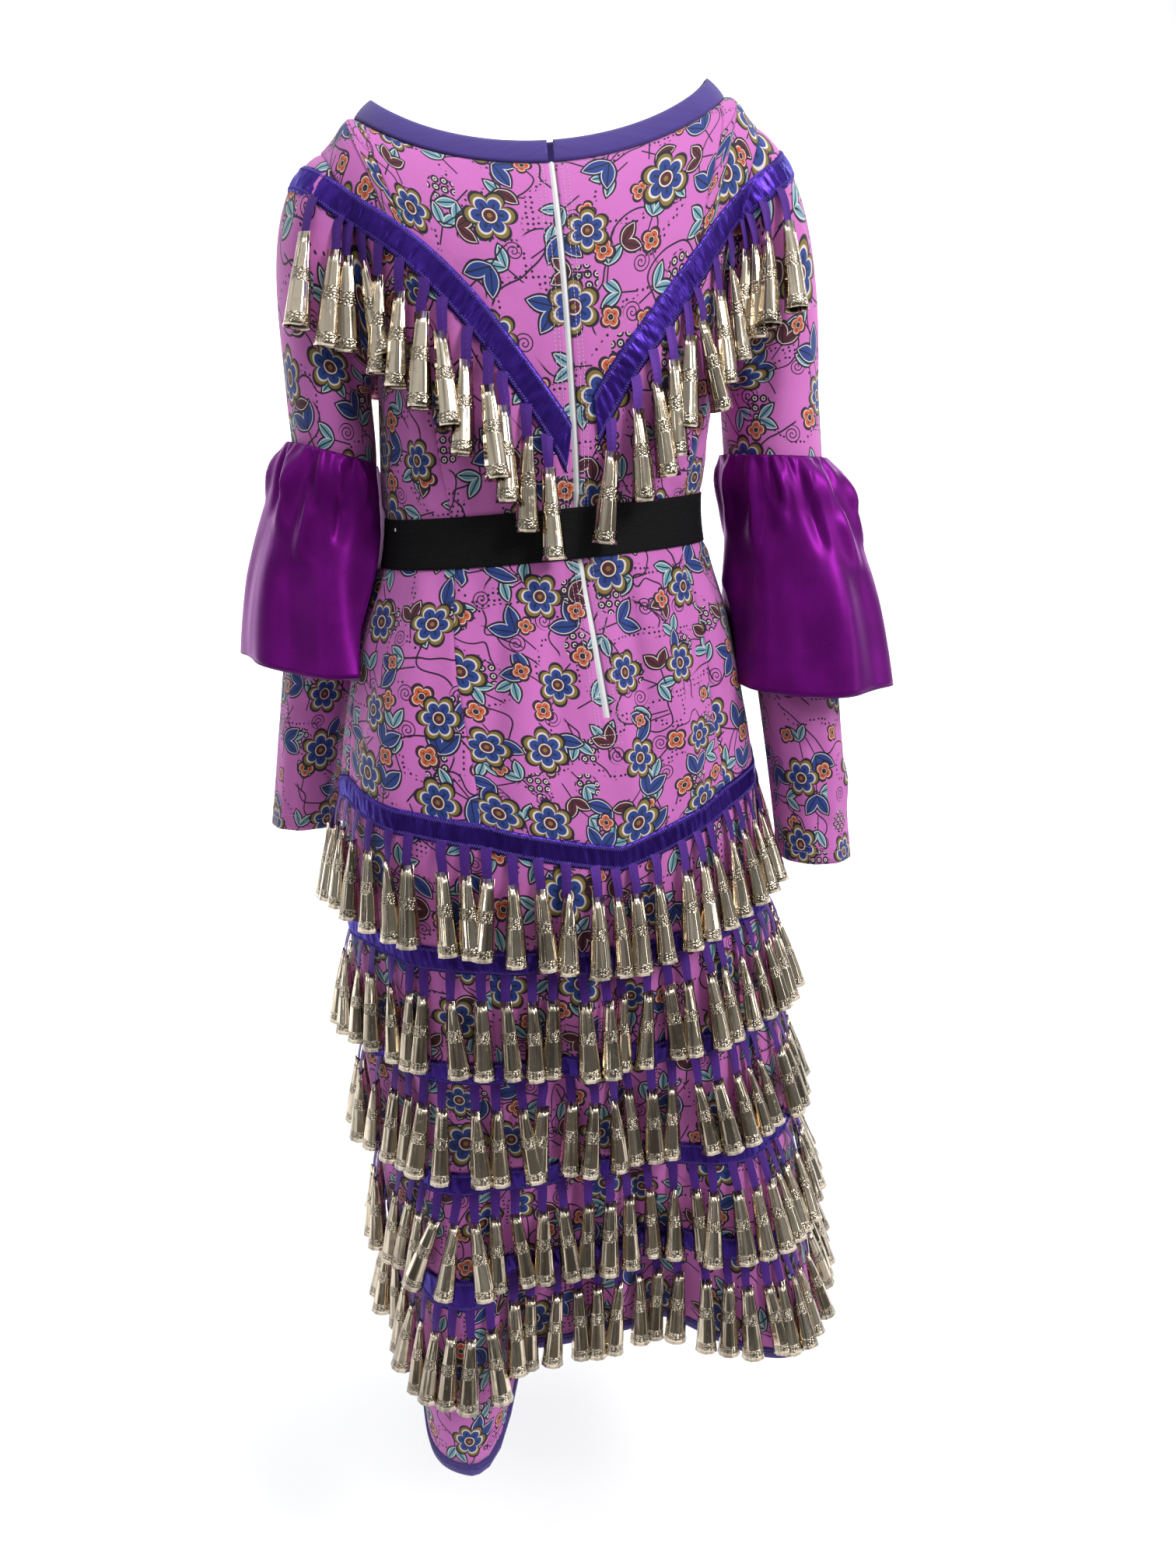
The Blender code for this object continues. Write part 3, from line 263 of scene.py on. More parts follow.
class DressColours(bpy.types.PropertyGroup):
    """Colours of the cloths and the metal, in linear values."""

    ground: shade("Ground", "Ground of the printed cotton", (0.660, 0.172, 0.555))
    outline: shade("Outline", "Outlines and dots of the print", (0.010, 0.007, 0.020))
    petal: shade("Petal", "Petals of the large flowers", (0.016, 0.048, 0.245))
    rim: shade("Rim", "Rims of the large flowers", (0.235, 0.165, 0.030))
    cream: shade("Cream", "Light lines of the print", (0.800, 0.700, 0.640))
    maroon: shade("Maroon", "Flower centres and small flowers", (0.095, 0.010, 0.022))
    orange: shade("Orange", "Small touches of the print", (0.640, 0.110, 0.030))
    leaf: shade("Leaf", "Leaves of the print", (0.150, 0.360, 0.460))
    binding: shade("Binding", "Neck and hem binding", (0.066, 0.034, 0.270))
    trim: shade("Trim", "Satin ribbon", (0.060, 0.024, 0.300))
    hanger: shade("Hanger", "Ribbon hangers", (0.085, 0.030, 0.250))
    flounce: shade("Flounce", "Satin of the flounces", (0.135, 0.006, 0.170))
    belt: shade("Belt", "Elastic belt", (0.0014, 0.0014, 0.0017))
    metal: shade("Metal", "Cones", (0.850, 0.725, 0.560))
    zip: shade("Zip", "Zip tape and coil", (0.840, 0.840, 0.850))


# ---------------------------------------------------------------- the plain surface
def smooth(x, xs, ys):
    """A cubic through the table's points, with the mean of the neighbouring slopes at each."""
    slope = np.gradient(ys, xs)
    i = np.clip(np.searchsorted(xs, x) - 1, 0, len(xs) - 2)
    h = xs[i + 1] - xs[i]
    t = np.clip((x - xs[i]) / h, 0.0, 1.0)
    a = ys[i] * (1 + 2 * t) * (1 - t) ** 2 + ys[i + 1] * t * t * (3 - 2 * t)
    return a + h * (slope[i] * t * (1 - t) ** 2 + slope[i + 1] * t * t * (t - 1))


def ramp(x, low, high):
    """Rises from 0 at low to 1 at high as 3t^2 - 2t^3."""
    t = np.clip((x - low) / (high - low), 0.0, 1.0)
    return t * t * (3 - 2 * t)


def unit(values):
    return values / np.maximum(np.linalg.norm(values, axis=-1, keepdims=True), 1e-12)


def section(index, z):
    return smooth(-z, -SECTIONS[:, 0], SECTIONS[:, index])


def signed_power(value, power):
    return np.sign(value) * np.abs(value) ** power


def turned(x, y, angle):
    return x * np.cos(angle) - y * np.sin(angle), x * np.sin(angle) + y * np.cos(angle)


def place(x, y, z, at):
    """Turns, shifts and tilts points of the plain section at the height at."""
    x, y = turned(x, y, np.radians(section(5, at)))
    x = x + section(4, at)
    return np.stack([x, y, z + section(7, at) * x], axis=-1)


def flutes(points, z):
    """Pushes the skirt out along the folds that widen to the hem, each a squared cosine round its angle."""
    cx = section(4, z)
    dx = points[..., 0] - cx
    dy = points[..., 1]
    angle = np.degrees(np.arctan2(dx, -dy))
    radius = np.hypot(dx, dy)
    out = np.zeros_like(radius)
    drop = np.zeros_like(radius)
    for (middle, before, after, top, depth, fall, power), blunt in zip(FLUTES, BLUNT):
        gap = (angle - middle + 180) % 360 - 180
        gap = np.abs(gap) / np.where(gap < 0, before, after)
        share = np.where(gap < 1, np.cos(np.pi / 2 * np.minimum(gap, 1)) ** 2, 0.0)
        down = np.clip((top - z) / (top - HEM), 0.0, 1.2) ** power
        out += depth * share * down
        drop += fall * (1 - (1 - share) ** blunt) * down ** 3
    k = 1 + out / radius
    return np.stack([cx + dx * k, dy * k, points[..., 2] - drop], axis=-1)


def angle_of(k, face, z):
    """The section's angle at column k. The front's cells open out at the princess seam."""
    if face == "back":
        return np.pi - np.pi / 2 * k / BACK_HALF
    seam = np.arcsin(section(6, z) ** (EXPONENT / 2))
    outer = seam + (np.pi / 2 - seam) * (np.abs(k) - PRINCESS) / (FRONT_HALF - PRINCESS)
    return np.sign(k) * np.where(np.abs(k) <= PRINCESS, seam * np.abs(k) / PRINCESS, outer)


def skirt(face, k, row):
    """Below the underarm. The last row but one slides down until the hem binding is equally wide."""
    low = len(ROWS) - 1
    if np.max(row) > low - 2:
        band = round_skirt(face, k, low + 0 * k) - round_skirt(face, k, low - 1 + 0 * k)
        part = np.minimum(HEM_WIDE / np.linalg.norm(band, axis=-1), 1.0)
        edge = low - (low - row) * part
        above = low - 2 + (row - low + 2) * (2 - part)
        row = np.where(row > low - 1, edge, np.where(row > low - 2, above, row))
    return round_skirt(face, k, row)


def round_skirt(face, k, row):
    """A superellipse at the row's height, which rises to the side seams."""
    index = np.arange(len(ROWS))
    last = FRONT_HALF if face == "front" else BACK_HALF
    share = np.minimum(np.abs(k) / last, 1.0) ** 0.95
    z = np.interp(row, index, ROWS[:, 0]) + np.interp(row, index, ROWS[:, 1]) * share
    theta = angle_of(k, face, z)
    depth = np.where(np.cos(theta) > 0, section(2, z), section(3, z))
    x = section(1, z) * signed_power(np.sin(theta), 2 / EXPONENT)
    y = -depth * signed_power(np.cos(theta), 2 / EXPONENT)
    return flutes(place(x, y, z, z), z)


def bodice(face, k, t):
    """Above the underarm: each column climbs a quarter ellipse, t from 0 to 1, to the neck or the ridge."""
    front = face == "front"
    base = np.full(np.shape(k), UNDERARM)
    s_low = signed_power(np.sin(angle_of(k, face, base)), 2 / EXPONENT)
    corner = NECK_CELLS if front else BACK_HALF - 2
    last = FRONT_HALF if front else BACK_HALF
    size = np.abs(k)
    bump = 0.048 * np.sign(k) * np.exp(-((size - corner) / (0.16 * last)) ** 2)
    s_corner = NECK_HALF / SHOULDER_HALF
    psi = np.pi / 2 * np.minimum(size / corner, 1.0)
    s_out = s_corner + (1 - s_corner) * (size - corner) / (last - corner)
    s_top = np.sign(k) * np.where(size <= corner, s_corner * np.sin(psi), s_out)
    beyond = np.clip((np.abs(s_top) * SHOULDER_HALF - NECK_HALF) / (SHOULDER_HALF - NECK_HALF), 0, 1)
    ridge = RIDGE - SHOULDER_DROP * beyond
    drop = NECK_DROP[face] * np.clip(np.cos(psi), 0, 1) ** 1.5
    reach = np.arcsin(np.clip((ridge - drop - UNDERARM) / (ridge - UNDERARM), 0, 1))
    a = np.where(size >= corner, np.pi / 2, reach) * t
    edge = smooth(t, RISE, ARMHOLE)
    s = s_low + (s_top - s_low) * t ** 1.2 + bump * np.sin(np.pi * t ** 3)
    depth = section(2 if front else 3, np.array([UNDERARM]))[0]
    level = depth * np.clip(np.cos(a), 0, 1) ** 1.2
    lip = np.minimum(0.057 * np.clip(np.sin(2 * np.minimum(a, np.pi / 2)), 0, 1) ** 0.8, level)
    round_off = (1 - np.minimum(np.abs(s), 1) ** EXPONENT) ** (1 / EXPONENT)
    y = (lip + (level - lip) * round_off) * (-1 if front else 1)
    p = place(s * edge, y, UNDERARM + (ridge - UNDERARM) * np.sin(a), base)
    x, y = turned(p[..., 0], p[..., 1], np.radians(-3.0) * t)
    return np.stack([x, y, p[..., 2]], axis=-1)


def plain(face, k, row):
    """The body's surface. row is -1 at the neckline or shoulder, 0 at the underarm and 17 at the hem."""
    k, row = np.broadcast_arrays(np.asarray(k, float), np.asarray(row, float))
    up = bodice(face, k, np.clip(-row, 0, 1))
    low = skirt(face, k, np.clip(row, 0, len(ROWS) - 1))
    return np.where((row < 0)[..., None], up, low)


def lines(values, table, reach):
    """Adds creases. Each is a bell across its line and a half sine along it, on a tube of radius reach."""
    angle, z = np.broadcast_arrays(*values)
    out = np.zeros(z.shape)
    for a0, z0, a1, z1, width, height in table:
        along = np.array([np.radians(a1 - a0) * reach, z1 - z0])
        length = np.hypot(*along)
        x = np.radians((angle - a0 + 180) % 360 - 180) * reach
        t = np.clip((x * along[0] + (z - z0) * along[1]) / length ** 2, 0, 1)
        side = (x * along[1] - (z - z0) * along[0]) / length
        wide = width * np.where(side > 0, 1.35, 0.8)
        out += height * np.exp(-((side / wide) ** 2)) * np.sin(np.pi * t) ** 0.7
    return out


def drape(points):
    """How far the body's cloth stands off the plain surface: creases, and gathers that fade from the belt."""
    x, y, z = points[..., 0], points[..., 1], points[..., 2]
    angle = np.degrees(np.arctan2(x - section(4, z), -y))
    turn = np.radians(angle)
    out = 1.35 * lines((angle, z), CREASES, GIRTH) * ramp(-z, 0.10, 0.16)
    high = z - 0.055 * x - BELT_MIDDLE
    off = np.abs(high) - BELT_HIGH / 2
    beat = np.sin(23 * turn + 0.4) + 0.7 * np.sin(36 * turn + 1.7 * np.sin(3 * turn))
    beat = beat + 0.5 * np.sin(13 * turn + 2.0)
    gather = 0.0020 * (beat + 0.5) * ramp(off, 0.0, 0.014) * np.exp(-np.maximum(off, 0) / 0.055)
    squeeze = -0.0010 * (1 - ramp(off, -0.004, 0.010))
    return out + gather * np.where(high > 0, 0.75, 1.0) + squeeze


def cloth_at(face, k, row):
    """Points and outward normals of the draped body at columns k and rows row."""
    k, row = np.broadcast_arrays(np.asarray(k, float), np.asarray(row, float))
    step = 0.02
    low, high = np.maximum(row - step, -1.0), np.minimum(row + step, len(ROWS) - 1)
    across = plain(face, k + step, row) - plain(face, k - step, row)
    down = plain(face, k, high) - plain(face, k, low)
    normal = unit(np.cross(down, across)) * (1 if face == "front" else -1)
    points = plain(face, k, row)
    return points + normal * drape(points)[..., None], normal


def rows_between(first, last, step):
    """Rows from first to last that pass through every whole row, at most step apart in height."""
    index = np.arange(-1, len(ROWS))
    heights = np.concatenate([[0.03], ROWS[:, 0]])
    whole = range(int(np.ceil(first + 1e-6)), int(np.ceil(last)))
    stops = [first] + [r for r in whole if first < r < last] + [last]
    parts = [np.array([first])]
    for a, b in zip(stops, stops[1:]):
        fall = np.interp(a, index, heights) - np.interp(b, index, heights)
        count = max(1, int(np.ceil(abs(fall) / step)))
        parts.append(np.linspace(a, b, count + 1)[1:])
    return np.concatenate(parts)


def columns_between(first, last, per_cell, edges=(0.05, 0.14)):
    """Columns from first to last, with extra ones close to both seams."""
    count = max(2, int(round(abs(last - first) * per_cell)))
    plain_ones = np.linspace(first, last, count + 1)
    sign = np.sign(last - first)
    near = [first + sign * e for e in edges] + [last - sign * e for e in edges]
    inside = plain_ones[(np.abs(plain_ones - first) > 0.18) & (np.abs(plain_ones - last) > 0.18)]
    found = np.concatenate([[first, last], near, inside])
    return np.sort(found) if sign > 0 else np.sort(found)[::-1]


@functools.lru_cache(maxsize=None)
def ring_at(first, last, step, per_cell):
    """Full rings of the draped body, from the wearer's right side seam: points and normals."""
    rows = rows_between(first, last, step)[:, None]
    front = np.linspace(-FRONT_HALF, FRONT_HALF, int(2 * FRONT_HALF * per_cell) + 1)[:-1]
    back = np.linspace(BACK_HALF, -BACK_HALF, int(2 * BACK_HALF * per_cell * 1.45) + 1)[:-1]
    parts = zip(cloth_at("front", front[None], rows), cloth_at("back", back[None], rows))
    return [np.concatenate(part, axis=1) for part in parts]


# ---------------------------------------------------------------- meshes
def run_of(path):
    """Distance along a path from its first point."""
    return np.concatenate([[0], np.cumsum(np.linalg.norm(np.diff(path, axis=0), axis=-1))])


def closed(grid):
    """The grid with its first column again after the last."""
    return np.concatenate([grid, grid[:, :1]], axis=1)


def lengths(points, axis):
    """Distance along the grid from its first row or column, the same for all lines: the mean of them."""
    steps = np.linalg.norm(np.diff(points, axis=axis), axis=-1)
    return np.concatenate([[0], np.cumsum(steps.mean(axis=1 - axis))])


def flat_map(points):
    """The cloth laid flat, in metres: distance along each row from its middle, and down the middle column."""
    steps = np.linalg.norm(np.diff(points, axis=1), axis=-1)
    across = np.concatenate([np.zeros((len(points), 1)), np.cumsum(steps, axis=1)], axis=1)
    across -= across[:, across.shape[1] // 2][:, None]
    down = run_of(points[:, points.shape[1] // 2])
    return np.stack([across, np.broadcast_to(-down[:, None], across.shape)], axis=-1)


def grid_faces(rows, cols, ring, cells=None):
    """Corner numbers of a grid's quads, as rows of four. cells picks some of them."""
    index = np.arange(rows * cols).reshape(rows, cols)
    index = closed(index) if ring else index
    quads = np.stack([index[:-1, :-1], index[1:, :-1], index[1:, 1:], index[:-1, 1:]], axis=-1)
    return quads.reshape(-1, 4) if cells is None else quads[cells]


def repeated(faces, points, count):
    """The faces of count copies of a mesh that has so many points."""
    return (faces[None] + points * np.arange(count)[:, None, None]).reshape(-1, 4)


def rim_of(faces):
    """The edges that only one face uses, in that face's direction."""
    edges = np.concatenate([faces[:, [i, (i + 1) % 4]] for i in range(4)])
    key = np.sort(edges, axis=1)
    _, first, count = np.unique(key, axis=0, return_index=True, return_counts=True)
    return edges[first[count == 1]]


def make(name, points, faces, uv=None, smooth_faces=True):
    """A mesh object at the origin. uv holds one pair for each corner of each face."""
    mesh = bpy.data.meshes.new(name)
    faces = np.asarray(faces)
    mesh.vertices.add(len(points))
    mesh.vertices.foreach_set("co", np.asarray(points, np.float32).ravel())
    mesh.loops.add(faces.size)
    mesh.loops.foreach_set("vertex_index", faces.ravel().astype(np.int32))
    mesh.polygons.add(len(faces))
    mesh.polygons.foreach_set("loop_start", np.arange(len(faces), dtype=np.int32) * faces.shape[1])
    mesh.polygons.foreach_set("use_smooth", np.full(len(faces), smooth_faces))
    if uv is not None:
        layer = mesh.uv_layers.new(name="UVMap")
        layer.data.foreach_set("uv", np.asarray(uv, np.float32).ravel())
    mesh.update(calc_edges=True)
    mesh.validate()
    thing = bpy.data.objects.new(name, mesh)
    bpy.context.scene.collection.objects.link(thing)
    return thing


def shell(name, outer, normals, thick, uv, ring=False, cells=None):
    """A closed thin wall: the outer grid, the same grid moved in by thick, and a strip round each open edge.

    On a ring the last cells take their map from the column that would come next."""
    rows, cols = outer.shape[:2]
    faces = grid_faces(rows, cols, ring, cells)
    edge = rim_of(faces)
    shift = rows * cols
    strip = np.stack([edge[:, 1], edge[:, 0], edge[:, 0] + shift, edge[:, 1] + shift], axis=1)
    points = np.concatenate([outer.reshape(-1, 3), (outer - normals * thick).reshape(-1, 3)])
    flat = uv.reshape(-1, 2)
    if ring:
        wide = uv.shape[1]
        face_uv = flat[grid_faces(rows, wide, False)]
        ends = strip[:, [0, 1, 1, 0]]
        edge_uv = flat[ends // cols * wide + ends % cols]
    else:
        face_uv = flat[faces]
        edge_uv = flat[strip % shift]
    all_faces = np.concatenate([faces, faces[:, ::-1] + shift, strip])
    all_uv = np.concatenate([face_uv, face_uv[:, ::-1], edge_uv])
    used, compact = np.unique(all_faces, return_inverse=True)
    return make(name, points[used], compact.reshape(-1, 4), all_uv)


def finish_piece(thing, material, slot, *nodes):
    """Gives a piece its material and its body, and hides the solids it stands for."""
    thing.data.materials.append(material)
    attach(thing, "root")
    if nodes:
        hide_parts(*nodes)
    return thing


# ---------------------------------------------------------------- material graphs
def colour(value):
    return (*value[:3], 1.0)


def darker(value, share):
    return tuple(c * share for c in value)


def tone_of(key):
    return tuple(getattr(bpy.context.scene.dress_colours, key))


class Wire:
    """A node's output that takes part in sums: each operator adds one math node."""

    def __init__(self, graph, socket):
        self.graph = graph
        self.socket = socket

    def __add__(self, other):
        return self.graph.math("ADD", self, other)

    def __sub__(self, other):
        return self.graph.math("SUBTRACT", self, other)

    def __rsub__(self, other):
        return self.graph.math("SUBTRACT", other, self)

    def __mul__(self, other):
        return self.graph.math("MULTIPLY", self, other)

    def __truediv__(self, other):
        return self.graph.math("DIVIDE", self, other)

    def __abs__(self):
        return self.graph.math("ABSOLUTE", self)

    def __lt__(self, other):
        return self.graph.math("LESS_THAN", self, other)


class Graph:
    """The nodes of a new material, or of a tree that is given. Each method returns its result as a wire."""

    def __init__(self, name, tree=None):
        if tree is None:
            self.material = bpy.data.materials.new(name)
            self.material.use_nodes = True
            tree = self.material.node_tree
        self.tree = tree

    def put(self, socket, value):
        if isinstance(value, Wire):
            self.tree.links.new(value.socket, socket)
        else:
            socket.default_value = colour(value) if socket.type == "RGBA" else value

    def node(self, kind, inputs=(), **settings):
        """Adds a node. inputs holds values by the input's name or number."""
        made = self.tree.nodes.new(kind)
        for key, value in settings.items():
            setattr(made, key, value)
        for key, value in dict(inputs).items():
            self.put(made.inputs[key], value)
        return made

    def wire(self, kind, output, inputs=(), **settings):
        return Wire(self, self.node(kind, inputs, **settings).outputs[output])

    def math(self, operation, *values):
        return self.wire("ShaderNodeMath", 0, enumerate(values), operation=operation)

    def vector(self, operation, *values):
        output = "Value" if operation == "LENGTH" else "Vector"
        return self.wire("ShaderNodeVectorMath", output, enumerate(values), operation=operation)

    def split(self, vector):
        return [Wire(self, out) for out in self.node("ShaderNodeSeparateXYZ", {"Vector": vector}).outputs]

    def pair(self, x, y):
        return self.wire("ShaderNodeCombineXYZ", 0, {"X": x, "Y": y})

    def span(self, value, low, high, first, last, kind="LINEAR"):
        """Goes from first, where value is low, to last, where it is high."""
        inputs = {"Value": value, "From Min": low, "From Max": high, "To Min": first, "To Max": last}
        return self.wire("ShaderNodeMapRange", "Result", inputs, interpolation_type=kind)

    def step(self, value, low, high):
        """Rises smoothly from 0 where value is low to 1 where it is high; falls if high is the smaller."""
        ends = (low, high, 0.0, 1.0) if low < high else (high, low, 1.0, 0.0)
        return self.span(value, *ends, kind="SMOOTHSTEP")

    def mix(self, share, first, second):
        inputs = {0: share, 6: first, 7: second}
        return self.wire("ShaderNodeMix", 2, inputs, data_type="RGBA", clamp_factor=True)

    def noise(self, vector, scale, detail=2.0, rough=0.5):
        inputs = {"Vector": vector, "Scale": scale, "Detail": detail, "Roughness": rough}
        return self.wire("ShaderNodeTexNoise", "Fac", inputs)

    def wave(self, vector, scale, distortion, direction, detail=2.0):
        inputs = {"Vector": vector, "Scale": scale, "Distortion": distortion, "Detail": detail}
        return self.wire("ShaderNodeTexWave", "Fac", inputs, bands_direction=direction)

    def spots(self, vector, randomness):
        """Cells of a flat Voronoi pattern, one to each unit."""
        inputs = {"Vector": vector, "Scale": 1.0, "Randomness": randomness}
        return self.node("ShaderNodeTexVoronoi", inputs, voronoi_dimensions="2D").outputs

    def cells(self, cell, shift, randomness):
        """Voronoi cells: x, y and distance from the cell's middle in metres, and three chances of its own."""
        at = self.uv((1 / cell, 1 / cell), shift)
        spots = self.spots(at, randomness)
        away = self.vector("SUBTRACT", at, Wire(self, spots["Position"]))
        away = self.vector("MULTIPLY", away, (cell, cell, 0.0))
        x, y, _ = self.split(away)
        return x, y, self.vector("LENGTH", away), self.split(Wire(self, spots["Color"]))

    def uv(self, scale=(1.0, 1.0), shift=(0.0, 0.0)):
        plain_uv = self.wire("ShaderNodeUVMap", "UV", uv_map="UVMap")
        inputs = {"Vector": plain_uv, "Scale": (*scale, 1.0), "Location": (*shift, 0.0)}
        return self.wire("ShaderNodeMapping", "Vector", inputs)

    def place(self):
        return self.wire("ShaderNodeTexCoord", "Object")

    def bump(self, height, distance, strength=1.0, after=None):
        inputs = {"Height": height, "Distance": distance, "Strength": strength}
        if after is not None:
            inputs["Normal"] = after
        return self.wire("ShaderNodeBump", "Normal", inputs)

    def set(self, **values):
        """Sets the shader's sockets, named with underscores for spaces."""
        for key, value in values.items():
            self.put(self.tree.nodes["Principled BSDF"].inputs[key.replace("_", " ")], value)
        return self.material


def flower_layer(graph, under, cell, radius, petals, shift, keep, tones):
    """Flowers, one in each cell: petals where r < R (0.6 + 0.4 |cos(n a / 2)|^0.6), in rings of colour."""
    x, y, far, chance = graph.cells(cell, shift, 0.45)
    turn = graph.math("ARCTAN2", y, x) + chance[0] * FULL_TURN
    lobe = abs(graph.math("COSINE", turn * (petals / 2)))
    size = (chance[1] * 0.35 + 0.78) * radius
    reach = size * (graph.math("POWER", lobe, 0.6) * 0.40 + 0.60)
    q, middle = far / reach, far / size
    rim, petal, line, heart, outline = tones
    tone = graph.mix(graph.step(q, 0.77, 0.73), rim, line)
    tone = graph.mix(graph.step(q, 0.69, 0.65), tone, petal)
    ray = graph.step(lobe, 0.93, 0.97) * graph.step(q, 0.52, 0.48)
    tone = graph.mix(ray, tone, darker(petal, 0.35))
    rings = (0.33, 0.30, outline), (0.285, 0.26, line), (0.235, 0.21, heart), (0.10, 0.08, rim)
    for start, end, ring in rings:
        tone = graph.mix(graph.step(middle, start, end), tone, ring)
    tone = graph.mix(graph.step(q, 0.87, 0.90), tone, outline)
    return graph.mix(graph.step(q, 1.03, 0.98) * (chance[2] < keep), under, tone)


def leaf_layer(graph, under, cell, long, wide, shift, keep, tones):
    """Pointed leaves in pairs on a stem: |v| < w (1 - (u / l)^2), with a midrib, turned at random."""
    tone, outline, line = tones
    x, y, _, chance = graph.cells(cell, shift, 0.7)
    turn = chance[0] * FULL_TURN
    cos, sin = graph.math("COSINE", turn), graph.math("SINE", turn)
    x, y = x * cos + y * sin, y * cos - x * sin
    # the two leaves stand at a slant on both sides of a stem along x
    side = abs(y)
    u = x * 0.82 + side * 0.57 - long * 0.75
    v = abs(side * 0.82 - x * 0.57)
    share = u / long
    edge = (1.0 - share * share) * wide - v
    picked = chance[2] < keep
    stem = graph.step(side, 0.0009, 0.0005) * graph.step(x, -long * 1.5, -long * 1.4)
    stem = stem * graph.step(x, long * 0.4, long * 0.3)
    under = graph.mix(stem * picked, under, outline)
    inside = graph.mix(graph.step(v, 0.0008, 0.0004), tone, outline)
    inside = graph.mix(graph.step(edge, 0.0030, 0.0027) * graph.step(edge, 0.0019, 0.0022), inside, line)
    inside = graph.mix(graph.step(edge, 0.0018, 0.0015), inside, outline)
    return graph.mix(graph.step(edge, -0.0002, 0.0002) * picked, under, inside)


def curl_layer(graph, under, cell, radius, shift, keep, ink):
    """Curled tendrils: a line where the turn less r over the pitch is nearly whole, out to the radius."""
    x, y, far, chance = graph.cells(cell, shift, 0.8)
    turn = graph.math("ARCTAN2", y, x) / FULL_TURN
    wound = graph.math("FRACT", turn - far / CURL_PITCH + chance[0])
    line = graph.step(abs(wound - 0.5), 0.18, 0.12)
    shown = graph.step(far, radius, radius - 0.0004) * (chance[2] < keep)
    return graph.mix(line * shown, under, ink)


def berry_layer(graph, under, cell, radius, shift, keep, ink, pale):
    """Clusters of dark round berries, each with a pale ring and a dark heart, out to the radius."""
    _, _, far, chance = graph.cells(cell, shift, 0.6)
    _, _, near, _ = graph.cells(BERRY_CELL, shift[::-1], 0.12)
    shown = (far < radius) * (chance[2] < keep)
    tone = graph.mix(graph.step(near, 0.0021, 0.0018), ink, pale)
    tone = graph.mix(graph.step(near, 0.0011, 0.0008), tone, ink)
    return graph.mix(graph.step(near, 0.0039, 0.0036) * shown, under, tone)


def printed_cotton(name, shift):
    """Orchid cotton with a plain generic print: round flowers, leaf pairs, curls, berries, dots and vines."""
    graph = Graph(name)
    keys = ("ground", "outline", "cream", "petal", "leaf", "maroon", "orange", "rim")
    ground, ink, cream, petal, leaf, maroon, orange, rim = map(tone_of, keys)

    def moved(dx, dy):
        return shift[0] + dx, shift[1] + dy

    def drift(dx, dy, scale, detail):
        return graph.noise(graph.uv(shift=moved(dx, dy)), scale, detail)

    uv = graph.uv(shift=shift)
    tone = graph.mix(graph.noise(uv, 9.0, 3.0) * 0.5, ground, darker(ground, 0.82))
    for turn, fine in ((0.0, 12.0), (2.7, 15.0)):
        # the noise's distance from 0.5 over its slope is the distance from a line of even width
        wander = drift(turn, -turn, fine, 0.7)
        over = drift(turn + 0.001, -turn, fine, 0.7) - wander
        up = drift(turn, 0.001 - turn, fine, 0.7) - wander
        slope = graph.math("SQRT", over * over + up * up)
        vine = graph.step(abs(wander - 0.5) / slope, 0.95, 0.60)
        where = graph.step(drift(3.1 + turn, 0.0, 13.0, 0.5), 0.44, 0.47)
        tone = graph.mix(vine * where, tone, ink)
    dots = Wire(graph, graph.spots(graph.uv((1 / DOT_PITCH, 1 / DOT_PITCH), shift), 0.35)["Distance"])
    trail = graph.step(abs(drift(0.0, 5.3, 17.0, 0.5) - 0.48), 0.026, 0.016)
    tone = graph.mix(graph.step(dots, 0.27, 0.21) * trail, tone, ink)
    tone = curl_layer(graph, tone, 0.047, 0.0088, moved(2.2, 6.4), 0.55, ink)
    tone = berry_layer(graph, tone, 0.066, 0.0125, moved(8.8, 3.9), 0.60, ink, cream)
    for cell, long, wide, at, keep, fill in (
        (0.046, 0.0125, 0.0062, (0.37, 0.2), 0.90, leaf),
        (0.056, 0.0155, 0.0085, (4.6, 2.4), 0.55, petal),
        (0.069, 0.0120, 0.0072, (9.3, 7.7), 0.60, maroon),
    ):
        tone = leaf_layer(graph, tone, cell, long, wide, moved(*at), keep, (fill, ink, cream))
    small, big = (maroon, orange, cream, ink, ink), (rim, petal, cream, maroon, ink)
    tone = flower_layer(graph, tone, 0.049, 0.0112, 4, moved(7.7, 1.1), 0.50, small)
    tone = flower_layer(graph, tone, 0.077, 0.0240, 6, shift, 0.92, big)
    weave = (graph.wave(uv, 420.0, 0.6, "X") + graph.wave(uv, 420.0, 0.6, "Y")) * 0.5
    tone = graph.mix(weave * 0.10, tone, ink)
    ripple = graph.bump(graph.noise(uv, 55.0, 4.0, 0.55), 0.0012, 0.55)
    normal = graph.bump(weave, 0.00012, 0.6, ripple)
    return graph.set(Base_Color=tone, Roughness=0.72, Normal=normal, Sheen_Weight=0.18, Sheen_Roughness=0.5,
                     Specular_IOR_Level=0.32)


